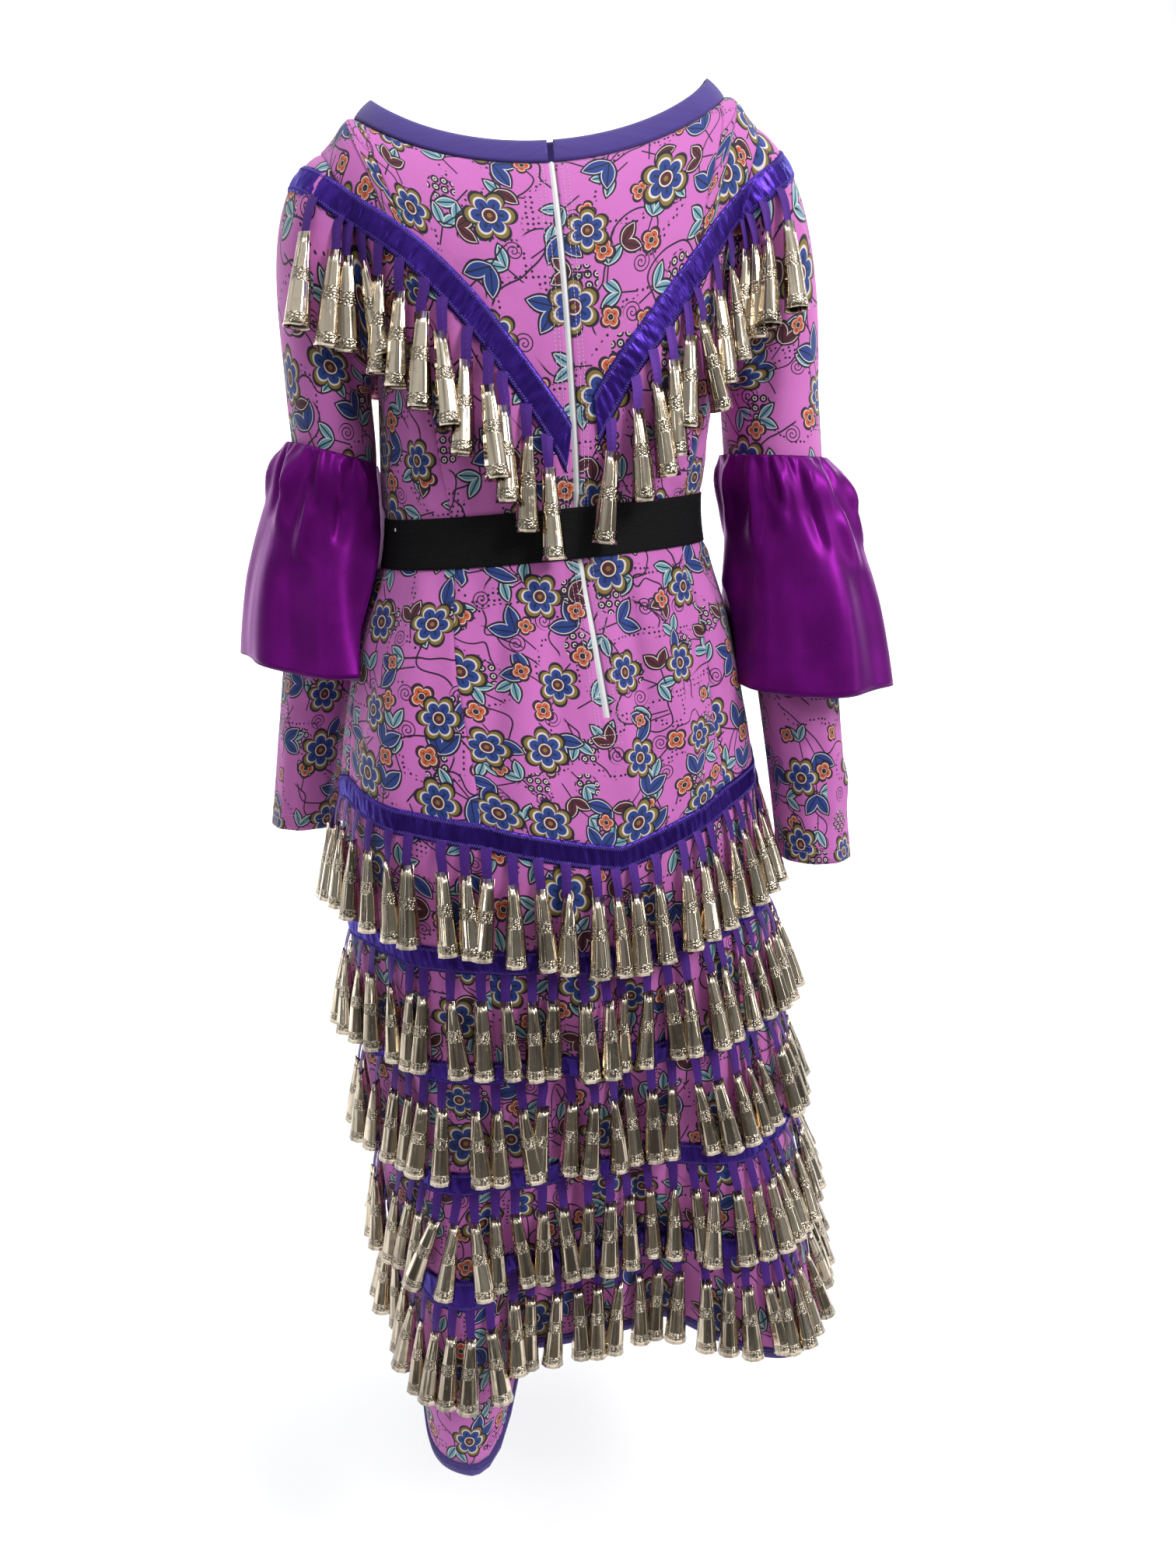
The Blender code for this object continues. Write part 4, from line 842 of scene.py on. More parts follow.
def satin(name, tone, across=False, wrinkle=0.0010, rough=0.36, metal=0.35):
    """Satin: a float weave with fine lines along the cloth, soft wrinkles or puckers, and a tight gloss."""
    graph = Graph(name)
    uv = graph.uv()
    folds = graph.noise(graph.uv((1.0, 0.30)), 135.0 if across else 34.0, 2.0, 0.45)
    floats = graph.noise(graph.uv((60.0, 1800.0) if across else (1800.0, 60.0)), 1.0)
    grain = graph.step(graph.noise(uv, 1100.0, 1.0), 0.42, 0.62)
    base = graph.mix(graph.step(graph.noise(uv, 26.0, 3.0), 0.35, 0.70), darker(tone, 0.66), tone)
    # painted shade: where folds is low, in the troughs of the wrinkles and puckers, the colour is darkened
    base = graph.mix(graph.step(folds, 0.56, 0.36) * (0.55 if across else 0.25), base, darker(tone, 0.30))
    base = graph.mix(floats * 0.25, base, darker(tone, 0.40))
    base = graph.mix(grain * 0.30, base, darker(tone, 1.7))
    normal = graph.bump(floats, 0.00006, 0.5, graph.bump(folds, wrinkle, 1.0))
    glow = tuple(min(1.0, 1.5 * x / max(tone)) for x in tone)
    return graph.set(Base_Color=base, Roughness=rough, Normal=normal, Metallic=metal, Sheen_Weight=0.10,
                     Sheen_Roughness=0.3, Sheen_Tint=glow, Specular_Tint=glow, Specular_IOR_Level=0.6)


def plain_cotton(name, tone):
    """Plain matte cotton with a fine weave and a little unevenness."""
    graph = Graph(name)
    weave = graph.wave(graph.uv(), 380.0, 1.0, "DIAGONAL")
    uneven = graph.noise(graph.uv(), 70.0, 4.0)
    base = graph.mix(uneven * 0.55, tone, darker(tone, 0.60))
    base = graph.mix(weave * 0.15, base, darker(tone, 0.4))
    normal = graph.bump(weave, 0.0001, 0.6, graph.bump(uneven, 0.0008, 0.7))
    return graph.set(Base_Color=base, Roughness=0.85, Normal=normal, Sheen_Weight=0.25, Sheen_Roughness=0.6,
                     Specular_IOR_Level=0.25)


def elastic(name, tone):
    """Ribbed elastic: fine cords across the belt, each a small round rib, with slight lint."""
    graph = Graph(name)
    uv = graph.uv()
    ribs = graph.wave(uv, 155.0, 0.25, "Y", 1.0)
    knit = graph.wave(uv, 260.0, 0.8, "X")
    lint = graph.step(graph.noise(uv, 240.0, 5.0, 0.7), 0.62, 0.75)
    # painted highlight: the raised crest of each rib is painted lighter than the grooves between the ribs
    base = graph.mix(ribs * 0.6, tone, tuple(x * 2.0 + 0.002 for x in tone))
    base = graph.mix(lint * 0.25, base, (0.045, 0.045, 0.05))
    normal = graph.bump(ribs, 0.0005, 0.8, graph.bump(knit, 0.0002, 0.5))
    return graph.set(Base_Color=base, Roughness=0.78, Normal=normal, Specular_IOR_Level=0.22)


def rolled_tin(name, tone):
    """Rolled tinplate: painted reflection streaks and flutes down the cone, two beaded bands with painted
    shade between the beads, a seam, and painted shade in the mouth and inside the pinched top.
    """
    graph = Graph(name)
    u, v, _ = graph.split(graph.uv())
    place_in = graph.place()
    own = graph.wire("ShaderNodeAttribute", "Fac", attribute_name="own")
    # painted reflection: dark streaks down each cone stand in for the surroundings seen in the polished tin
    painted_reflection_streak = graph.noise(graph.pair(u * 9.0 + own * 30.0, v * 0.5), 1.0, 2.0, 0.6)
    low = graph.step(v, 0.37, 0.39) * graph.step(v, 0.53, 0.51)
    high = graph.step(v, 0.85, 0.865) * graph.step(v, 0.955, 0.94)
    banded = graph.math("MAXIMUM", low, high)
    beads = Wire(graph, graph.spots(graph.pair(u * 20.0, v * 33.0), 0.75)["Distance"])
    beads = graph.step(beads, 0.52, 0.12)
    flute_of = graph.math("SINE", u * 50.3 + own * 6.0) * 0.5 + 0.5
    ring_lines = graph.math("SINE", v * 210.0) * 0.5 + 0.5
    relief = (beads + ring_lines * 0.35) * banded + flute_of * 1.15 * (1.0 - banded)
    seam = graph.step(abs(u - 0.5), 0.018, 0.008)
    grime = graph.step(graph.noise(place_in, 160.0, 4.0, 0.6), 0.52, 0.72)
    base = tone
    for share, over in (
        (graph.step(painted_reflection_streak, 0.56, 0.40) * 0.60, darker(tone, 0.16)),
        # painted shade: the ground of each band between its raised beads is darkened, so that the beads stand
        # out light
        ((1.0 - beads) * banded * 0.60, darker(tone, 0.14)),
        (seam * 0.8, darker(tone, 0.10)),
        (grime * 0.22, (0.16, 0.12, 0.08)),
        # painted shade: the rings inside the mouth (map height above 1) and inside the pinched top (below 0)
        # are near black
        (graph.step(v, 1.02, 1.06), (0.02, 0.017, 0.014)),
        (graph.step(v, -0.02, -0.06), (0.012, 0.010, 0.009)),
    ):
        base = graph.mix(share, base, over)
    dents = graph.bump(graph.noise(place_in, 45.0, 1.0), 0.0006, 0.5)
    normal = graph.bump(relief, 0.0005, 0.8, dents)
    return graph.set(Base_Color=base, Roughness=grime * 0.16 + 0.13, Metallic=1.0, Normal=normal)


def pearl_bead(name):
    graph = Graph(name)
    base = graph.mix(graph.noise(graph.place(), 400.0), (0.86, 0.83, 0.79), (0.93, 0.90, 0.91))
    return graph.set(Base_Color=base, Roughness=0.18, Coat_Weight=0.6, Coat_Roughness=0.08)


def thread(name, tone):
    graph = Graph(name)
    fuzz = graph.noise(graph.place(), 900.0, 3.0)
    base = graph.mix(fuzz, darker(tone, 0.7), tone)
    return graph.set(Base_Color=base, Roughness=0.6, Sheen_Weight=0.3, Normal=graph.bump(fuzz, 0.0002, 0.5))


def zip_plastic(name, tone):
    graph = Graph(name)
    worn = graph.noise(graph.place(), 120.0, 3.0)
    base = graph.mix(worn * 0.4, tone, darker(tone, 0.78))
    return graph.set(Base_Color=base, Roughness=0.48, Normal=graph.bump(worn, 0.0002, 0.4))


# ---------------------------------------------------------------- panels
PANELS = {
    # node: face, first column, last column, print shift, flat size, flat area
    "Front_Center": ("front", -PRINCESS, PRINCESS, (0.0, 0.0), (0.36, 1.24), 0.32),
    "Front_Side_R": ("front", -FRONT_HALF, -PRINCESS, (0.63, 0.41), (0.26, 1.16), 0.185),
    "Front_Side_L": ("front", PRINCESS, FRONT_HALF, (1.37, 0.87), (0.24, 1.16), 0.165),
    "Back": ("back", BACK_HALF, -BACK_HALF, (2.11, 0.23), (0.72, 1.22), 0.62),
}


def seam_groove(columns, first, last):
    """A dip of a millimetre at both side edges, where the cloth turns in to the seam: a bell at each."""
    near = np.minimum(np.abs(columns - first), np.abs(columns - last)) * SEAM_CELL
    return -0.0010 * np.exp(-((near / 0.0022) ** 2))


def panel_grid(node):
    """Columns, rows, points and normals of one cut panel, from its top edge to the hem binding."""
    size = bpy.context.scene.dress_sizes
    face, first, last = PANELS[node][:3]
    per_cell = (5 if face == "front" else 7) * 0.006 / size.grid
    columns = columns_between(first, last, per_cell)
    if node == "Front_Center":
        gap = ZIP_HALF / COLUMN_WIDE
        inside = columns[np.abs(columns) > gap + 0.05]
        columns = np.sort(np.concatenate([inside, [-gap - 0.09, -gap, gap, gap + 0.09]]))
    rows = rows_between(-1.0, HEM_ROW, size.grid)
    points, normals = cloth_at(face, columns[None], rows[:, None])
    dip = np.broadcast_to(seam_groove(columns, first, last)[None], points.shape[:2]).copy()
    dip += -0.0008 * np.exp(-((rows[:, None] + 1) / 0.012) ** 2)
    return columns, rows, points + normals * dip[..., None], normals


class DRESS_OT_panels(bpy.types.Operator):
    """Cut panels of printed cotton: centre front with its zip slash, side fronts and back"""

    bl_idname = "dress.panels"
    bl_label = "Body panels"

    def execute(self, context):
        thick = context.scene.dress_sizes.cloth
        for node, (_, _, _, shift, flat, area) in PANELS.items():
            columns, rows, points, normals = panel_grid(node)
            cells = None
            if node == "Front_Center":
                middle = (columns[:-1] + columns[1:]) / 2
                over = rows[:-1] < ZIP_ROW - 1e-6
                cells = ~(over[:, None] & (np.abs(middle) < 0.02)[None])
            thing = shell(node + "_Cloth", points, normals, thick, flat_map(points), cells=cells)
            finish_piece(thing, printed_cotton(node + "_Print", shift), "print", node)
        return {"FINISHED"}


# ---------------------------------------------------------------- sleeves
def sleeve_ring(row, gamma):
    """A level ring. gamma is 180 on the inner side, 270 at the front and 360 outside."""
    z, cx, cy, a, b = (np.asarray(v)[..., None] for v in row)
    return np.stack(np.broadcast_arrays(cx + a * np.cos(gamma), cy + b * np.sin(gamma), z), axis=-1)


def arm_at(side, z):
    """Centre and half sizes of the sleeve at heights z, on a cubic through its rings."""
    rows = ARMS[side]
    return [smooth(-z, -rows[:, 0], rows[:, k]) for k in range(1, 5)]


@functools.lru_cache(maxsize=None)
def sleeve_grid(side, half=36):
    """Rings from the armhole to the cuff. The cap bends over as a cubic down to the first ring."""
    sign = 1.0 if side == "L" else -1.0
    t = np.linspace(0, 1, half + 1)
    front = plain("front", sign * FRONT_HALF, -t)
    back = plain("back", sign * BACK_HALF, -t)
    loop = np.concatenate([front, back[-2:0:-1]])
    share = run_of(np.concatenate([loop, loop[:1]]))
    gamma = np.where(np.arange(len(loop)) <= half, np.pi + np.pi * share[:-1] / share[half],
                     FULL_TURN + np.pi * (share[:-1] - share[half]) / (share[-1] - share[half]))
    height = (loop[:, 2] - loop[0, 2]) / (loop[half, 2] - loop[0, 2])
    at = gamma if sign > 0 else 3 * np.pi - gamma
    target = sleeve_ring(ARMS[side][0], at)
    beta = np.radians(84 - 56 * height)
    span = np.linalg.norm(target - loop, axis=1, keepdims=True)
    start_way = np.stack([sign * np.cos(beta), np.zeros(len(beta)), -np.sin(beta)], axis=-1)
    low = np.clip(1 - height * 3, 0, 1)[:, None]
    root = loop + low * np.array([sign * 0.0032, 0.0, 0.001])
    v = np.concatenate([[0, 0.012, 0.03], np.linspace(0.06, 1, 22)])[:-1, None, None]
    cap = ((1 + 2 * v) * (1 - v) ** 2 * root + v * v * (3 - 2 * v) * target
           + span * (v * (1 - v) ** 2 * start_way + v * v * (v - 1) * np.array([0.0, 0.0, -1.0])) * 0.95)
    z = np.linspace(ARMS[side][0, 0], ARMS[side][-1, 0], 76)
    tube = sleeve_ring([z] + arm_at(side, z), at)
    grid = np.concatenate([cap, tube])
    turn = np.degrees(gamma)[None] % 360
    normal = grid_normals(grid, True) * sign
    out = 1.4 * lines((turn, grid[..., 2]), SLEEVE_CREASES[side], 0.05)
    out += 0.0006 * np.sin(9 * gamma + 1.0)[None] * ramp(-grid[..., 2], 0.2, 0.45)
    grid = grid + normal * out[..., None]
    return (grid, normal) if side == "L" else (grid[:, ::-1], normal[:, ::-1])


def grid_normals(grid, ring):
    """Normals from the differences of neighbouring rows and columns."""
    across = np.roll(grid, -1, axis=1) - np.roll(grid, 1, axis=1) if ring else np.gradient(grid, axis=1)
    return unit(np.cross(np.gradient(grid, axis=0), across))


def closed_map(points):
    """The map of a tube cut open: one more column than the grid, so that the last cells close."""
    joined = closed(points)
    return np.stack(np.meshgrid(lengths(joined, 1), -lengths(joined, 0)), axis=-1)


class DRESS_OT_sleeves(bpy.types.Operator):
    """Long sleeves of printed cotton with a stitched cuff hem"""

    bl_idname = "dress.sleeves"
    bl_label = "Sleeves"

    def execute(self, context):
        thick = context.scene.dress_sizes.cloth
        for side, shift in (("R", (0.23, 0.77)), ("L", (1.71, 0.31))):
            points, normals = sleeve_grid(side)
            off = np.zeros(len(points))
            off[:3] = (-0.0010, -0.0006, -0.0001)
            off[-4:] = (0.0006, -0.0002, 0.0006, 0.0006)
            outer = points + normals * off[:, None, None]
            thing = shell(f"Sleeve_{side}_Cloth", outer, normals, thick, closed_map(points), ring=True)
            finish_piece(thing, printed_cotton(f"Sleeve_{side}_Print", shift), "print", f"Sleeve_{side}")
        return {"FINISHED"}


# ---------------------------------------------------------------- flounces
@functools.lru_cache(maxsize=None)
def body_reach():
    """Table of the body's radius round the skirt's axis, by height and angle, for what must stay clear."""
    z = np.linspace(-0.60, -0.24, 46)
    k = np.linspace(-FRONT_HALF, FRONT_HALF, 120)
    b = np.linspace(BACK_HALF, -BACK_HALF, 120)
    angles = np.radians(np.arange(-180, 181, 2.0))
    table = []
    for height in z:
        row = np.interp(-height, -ROWS[:, 0], np.arange(len(ROWS)))
        ring = np.concatenate([plain("front", k, row), plain("back", b, row)])
        phi = np.arctan2(ring[:, 0], -ring[:, 1])
        order = np.argsort(phi)
        radius = np.hypot(ring[:, 0], ring[:, 1])
        table.append(np.interp(angles, phi[order], radius[order], period=FULL_TURN))
    return angles, z, np.array(table)


def clear_of_body(x, y, z, room=0.0075):
    """Moves points straight out from the skirt's axis until they stand this far from the body."""
    angles, heights, table = body_reach()
    i = np.clip(np.searchsorted(heights, z) - 1, 0, len(heights) - 2)
    s = np.clip((z - heights[i]) / (heights[1] - heights[0]), 0, 1)
    turn = (np.arctan2(x, -y) - angles[0]) / (angles[1] - angles[0])
    j = np.clip(turn.astype(int), 0, len(angles) - 2)
    f = turn - j
    below, above = (table[i + k, j] * (1 - f) + table[i + k, j + 1] * f for k in (0, 1))
    radius = np.hypot(x, y)
    grow = np.maximum(radius, below * (1 - s) + above * s + room) / radius
    return x * grow, y * grow


def flounce_grid(side):
    """A gathered tube round the sleeve: it puffs out under its seam and opens to a waved hem."""
    top, low, hem_x, hem_y, hem_a, hem_b = FLOUNCES[side]
    t = np.concatenate([[0, 0.012], np.linspace(0.035, 1, 40)])[:, None]
    gamma = (FULL_TURN * np.arange(FLOUNCE_COLUMNS) / FLOUNCE_COLUMNS)[None]
    z = top + (low - top) * t
    sx, sy, sa, sb = (v.reshape(-1, 1) for v in arm_at(side, z[:, 0]))
    share = t ** 0.8
    puff = 0.0022 + 0.0035 * np.exp(-((t - 0.10) / 0.09) ** 2)
    cx, cy = sx + (hem_x - sx) * share, sy + (hem_y - sy) * share
    a, b = sa + (hem_a - sa) * share + puff, sb + (hem_b - sb) * share + puff
    phase = FLOUNCE_WAVES * gamma + 0.6 * t + 0.55 * np.sin(2 * gamma + 0.8) + 0.35 * np.sin(5 * gamma)
    beat = (0.5 + 0.5 * np.cos(phase)) ** 1.25 * (0.7 + 0.3 * np.sin(2 * gamma + 2.0))
    wave = (0.0008 + 0.0066 * np.minimum(1.0, 1.6 * t) ** 1.3) * beat
    fine = 27 * gamma + 1.9 * np.sin(3 * gamma) + 1.3 * np.sin(7 * gamma + 1)
    gather = 0.0016 * np.cos(fine) * np.exp(-t / 0.09) * ramp(t, -0.02, 0.02)
    turn = np.degrees(gamma) if side == "R" else 540 - np.degrees(gamma)
    tall = top - low
    short = FLOUNCE_CREASES[:SHORT_CREASES] * [1, tall, 1, 0.62 * tall, 0.66, 1.25]
    long = FLOUNCE_CREASES[SHORT_CREASES:] * [1, tall, 1, tall, 1.2, 0.6]
    fold = lines((turn, t * tall), np.concatenate([short, long]), 0.075)
    far = wave + gather + fold * ramp(t, 0.0, 0.06)
    x, y = clear_of_body(cx + (a + far) * np.cos(gamma), cy + (b + far) * np.sin(gamma), z)
    drop = 0.003 * np.sin(3 * gamma + 1) * t + FLOUNCE_SLANT[side] * np.cos(gamma)
    points = np.stack(np.broadcast_arrays(x, y, z - drop), axis=-1)[:, ::-1]
    return points, grid_normals(points, True)


class DRESS_OT_flounces(bpy.types.Operator):
    """Satin flounces gathered round the sleeves, with an overlocked hem"""

    bl_idname = "dress.flounces"
    bl_label = "Flounces"

    def execute(self, context):
        tone = tone_of("flounce")
        thick = context.scene.dress_sizes.satin
        material = satin("Flounce_Satin", tone, wrinkle=0.0010, rough=0.38, metal=0.25)
        edge = thread("Overlock_Thread", darker(tone, 0.55))
        for side in "RL":
            points, normals = flounce_grid(side)
            thing = shell(f"Flounce_{side}_Satin", points, normals, thick, closed_map(points), ring=True)
            finish_piece(thing, material, "flounce", "Flounce_" + side)
            hem = tube_along(f"Flounce_{side}_Overlock", points[-1], 0.0008, 6, True, ripple=(400, 0.00018))
            finish_piece(hem, edge, "flounce")
        return {"FINISHED"}


def tube_along(name, path, radius, sides, ring=False, ripple=None):
    """A round cord: circles of radius r in the plane across a path. ripple = (count, height) beads it."""
    along = unit(np.roll(path, -1, axis=0) - np.roll(path, 1, axis=0) if ring else np.gradient(path, axis=0))
    up = np.where(np.abs(along[:, 2:3]) > 0.9, np.array([[1.0, 0, 0]]), np.array([[0, 0, 1.0]]))
    side = unit(np.cross(along, up))
    other = np.cross(side, along)
    a = FULL_TURN * np.arange(sides) / sides
    r = np.full(len(path), radius)
    if ripple:
        r = r + ripple[1] * np.sin(FULL_TURN * ripple[0] * np.arange(len(path)) / len(path))
    circle = side[:, None] * np.cos(a)[None, :, None] + other[:, None] * np.sin(a)[None, :, None]
    points = (path[:, None] + circle * r[:, None, None]).reshape(-1, 3)
    thing = make(name, points, grid_faces(len(path) + ring, sides, True) % len(points))
    if not ring:
        cap_ends(thing)
    return thing


def cap_ends(thing):
    """Closes the open ends of a tube and turns its faces out."""
    work = bmesh.new()
    work.from_mesh(thing.data)
    bmesh.ops.holes_fill(work, edges=[e for e in work.edges if e.is_boundary])
    bmesh.ops.recalc_face_normals(work, faces=work.faces)
    work.to_mesh(thing.data)
    work.free()


# ---------------------------------------------------------------- bindings
def band_grid():
    """The neck binding: rows from the neckline up, leaning in, open at the zip."""
    count = 90
    k_front = np.linspace(0, NECK_CELLS, count + 1)
    k_front[0] = ZIP_HALF / COLUMN_WIDE
    k_back = np.linspace(BACK_HALF - 2, 0, count + 1)[1:]
    runs = (("front", k_front), ("back", k_back), ("back", -k_back[::-1][1:]), ("front", -k_front[::-1]))
    low = np.concatenate([cloth_at(face, k, -1.0)[0] for face, k in runs])
    psi = np.linspace(0, np.pi / 2, count + 1)
    psi = np.concatenate([psi, np.pi - psi[::-1][1:], np.pi + psi[1:-1], FULL_TURN - psi[::-1]])
    lean = np.radians(44 + 18 * np.abs(np.cos(psi)) ** 1.5)
    x, y = turned(-np.sin(psi) * np.cos(lean), np.cos(psi) * np.cos(lean), np.radians(-8.0))
    way = np.stack([x, y, np.sin(lean)], axis=-1)
    up = np.linspace(1, 0, 9)[:, None, None]
    points = low[None] + way[None] * NECK_BAND * up
    return points, grid_normals(points, False), 0.0016 * rounded(up, 0.04, 0.5)


def rounded(share, margin, power):
    """A round back across a band: sin(pi share), kept a margin from both edges, to a power."""
    return np.sin(np.pi * np.clip(share, margin, 1 - margin)) ** power


class DRESS_OT_bindings(bpy.types.Operator):
    """Blue-violet cotton bindings at the neck and the hem"""

    bl_idname = "dress.bindings"
    bl_label = "Bindings"

    def execute(self, context):
        material = plain_cotton("Binding_Cotton", tone_of("binding"))
        points, normals, puff = band_grid()
        outer = points + normals * (0.0004 + puff)
        thing = shell("Neck_Binding_Cloth", outer, normals, 0.0022, flat_map(points))
        finish_piece(thing, material, "binding", "Neck_Binding")
        points, normals = ring_at(HEM_ROW, HEM_ROW + 1, 0.004, 6)
        share = np.linspace(0, 1, len(points))[:, None, None]
        outer = points + normals * (0.0002 + 0.0010 * rounded(share, 0.03, 0.5))
        thing = shell("Hem_Binding_Cloth", outer, normals, 0.0018, closed_map(points), ring=True)
        finish_piece(thing, material, "binding", "Hem_Binding")
        return {"FINISHED"}


# ---------------------------------------------------------------- belt and pin
class DRESS_OT_belt(bpy.types.Operator):
    """Ribbed elastic belt and its pearl-headed pin"""

    bl_idname = "dress.belt"
    bl_label = "Belt"

    def execute(self, context):
        points, normals = ring_at(BELT_ROW, BELT_ROW + 1, 0.003, 7)
        edge = rounded(np.linspace(0, 1, len(points))[:, None, None], 0.02, 0.35)
        around = np.arange(points.shape[1]) / points.shape[1] * FULL_TURN
        ripple = 0.0003 * np.sin(40 * around + 2 * np.sin(5 * around))[None, :, None] * (1 - edge)
        outer = points + normals * (0.0010 + 0.0016 * edge + ripple)
        thing = shell("Belt_Elastic", outer, normals, 0.0014, closed_map(points), ring=True)
        finish_piece(thing, elastic("Belt_Ribs", tone_of("belt")), "belt", "Belt")
        low, high = (np.array(corner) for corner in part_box("Belt_Pin"))
        middle = (low + high) / 2
        head = ball("Belt_Pin_Pearl", middle, float(high[0] - low[0]) / 2)
        finish_piece(head, pearl_bead("Pearl"), "pearl", "Belt_Pin")
        out = unit(np.array([middle[0], middle[1], 0.0]))
        aside = np.array([-out[1], out[0], 0.0]) * (1 if middle[0] < 0 else -1)
        s = np.linspace(0.002, 0.026, 9)[:, None]
        path = middle - out * (0.0030 + 0.0006 * np.sin(s * 120)) + aside * s
        shaft = tube_along("Belt_Pin_Shaft", path, 0.00035, 6)
        finish_piece(shaft, rolled_tin("Pin_Steel", (0.6, 0.6, 0.62)), "pearl")
        return {"FINISHED"}


def ball(name, middle, radius, rows=12, cols=20):
    """A sphere: rings at even polar angles, drawn together at both poles."""
    polar = np.linspace(0.02, np.pi - 0.02, rows)[:, None]
    turn = FULL_TURN * np.arange(cols)[None] / cols
    points = (np.sin(polar) * np.cos(turn), np.sin(polar) * np.sin(turn), np.cos(polar))
    points = middle + np.stack(np.broadcast_arrays(*points), axis=-1) * radius
    thing = make(name, points.reshape(-1, 3), grid_faces(rows, cols, True))
    cap_ends(thing)
    return thing


# ---------------------------------------------------------------- zip
def zip_line(offset, rows, lift):
    """Points beside the centre front, offset metres to the side and lift metres off the cloth."""
    points, normals = cloth_at("front", np.full(len(rows), offset / COLUMN_WIDE), rows)
    return points + normals * lift, normals


class DRESS_OT_zip(bpy.types.Operator):
    """White coil zip let into the centre front"""

    bl_idname = "dress.zip"
    bl_label = "Zip"

    def execute(self, context):
        rows = rows_between(-1.0, ZIP_ROW + 0.04, 0.0011)
        k = np.array([-1.0, -0.62, -0.34, -0.12, 0.0, 0.12, 0.34, 0.62, 1.0]) * ZIP_HALF * 0.97 / COLUMN_WIDE
        points, normals = cloth_at("front", k[None], rows[:, None])
        teeth = np.array([0.0, 0.0, 0.55, 1.0, 0.72, 1.0, 0.55, 0.0, 0.0])[None]
        tooth = np.where(np.arange(len(rows)) % 2 == 0, 1.0, 0.35)[:, None]
        outer = points + normals * (-0.0012 + 0.0013 * teeth * tooth)[..., None]
        thing = shell("Zip_Coil", outer, normals, 0.0010, flat_map(points))
        finish_piece(thing, zip_plastic("Zip_White", tone_of("zip")), "zip", "Zip")
        return {"FINISHED"}


# ---------------------------------------------------------------- trims
def pucker(points, normals, share, seed):
    """Uneven cross wrinkles of sewn satin: sines along it whose phase drifts, fuller between the seams."""
    s = lengths(closed(points), 1)[:-1][None] * FULL_TURN
    drift = 1.3 * np.sin(s / 0.23 + seed) + 0.9 * np.sin(s / 0.09 + 2 * seed)
    beat = np.sin(s / 0.0135 + drift + 2.6 * share) * np.sin(s / 0.061 + seed)
    beat = beat + 0.7 * np.sin(s / 0.0088 + 2 * drift - 3.4 * share)
    edge = np.abs(2 * share - 1)
    rise = 0.00060 * beat * (1 - 0.5 * edge)
    crown = 0.0006 * (1 - edge ** 4)
    return points + normals * (rise + crown)[..., None]


def ribbon_satin(name, share):
    return satin(name, darker(tone_of("trim"), share), across=True, wrinkle=0.0019, rough=0.27, metal=0.55)


class DRESS_OT_skirt_trims(bpy.types.Operator):
    """Satin ribbons sewn round the skirt"""

    bl_idname = "dress.skirt_trims"
    bl_label = "Skirt ribbons"

    def execute(self, context):
        size = context.scene.dress_sizes
        # painted shade: the skirt's ribbons take the trim colour darkened to 0.70, as the same ribbon gets
        # less light low on the skirt than on the yoke
        material = ribbon_satin("Ribbon_Satin", 0.70)
        for number, row in enumerate(RIBBON_ROWS, 1):
            points, normals = ring_at(row, row + 1, 0.0036, 11)
            share = np.linspace(0, 1, len(points))[:, None]
            outer = pucker(points + normals * 0.0012, normals, share, 1.7 * number)
            name = f"Skirt_Ribbon_{number}"
            thing = shell(name + "_Satin", outer, normals, size.satin, closed_map(points), ring=True)
            finish_piece(thing, material, "trim", name)
        return {"FINISHED"}


def tree_of(grids):
    """A search tree of grids, each with a flag that says whether it closes round."""
    points, faces, start = [], [], 0
    for grid, ring in grids:
        points.append(grid.reshape(-1, 3))
        faces.append(grid_faces(*grid.shape[:2], ring) + start)
        start += len(points[-1])
    return BVHTree.FromPolygons(np.concatenate(points).tolist(), np.concatenate(faces).tolist())


@functools.lru_cache(maxsize=None)
def cloth_tree(with_sleeves):
    """The draped body, with or without its sleeves, for what is laid or hung on them."""
    sleeves = [(sleeve_grid(side)[0], True) for side in "RL" if with_sleeves]
    return tree_of([(panel_grid(node)[2], False) for node in PANELS] + sleeves)


def nearest(point):
    spot, normal, _, _ = cloth_tree(True).find_nearest(Vector(point))
    return np.array(spot), np.array(normal)


def hit(start, way, with_sleeves=True):
    spot = cloth_tree(with_sleeves).ray_cast(Vector(start), Vector(way))[0]
    return None if spot is None else np.array(spot)


def evenly(values, count, at=None):
    """The values at even places between the first and the last, by a cubic. at holds their own places."""
    at = np.linspace(0, 1, len(values)) if at is None else at
    fine = np.linspace(0, at[-1], count)
    return np.stack([smooth(fine, at, values[:, k]) for k in range(3)], axis=-1)


def evened(values, times):
    """The values, each drawn towards its neighbours this many times; the two ends stay."""
    for _ in range(times):
        middle = (values[:-2] + 2 * values[1:-1] + values[2:]) / 4
        values = np.concatenate([values[:1], middle, values[-1:]])
    return values


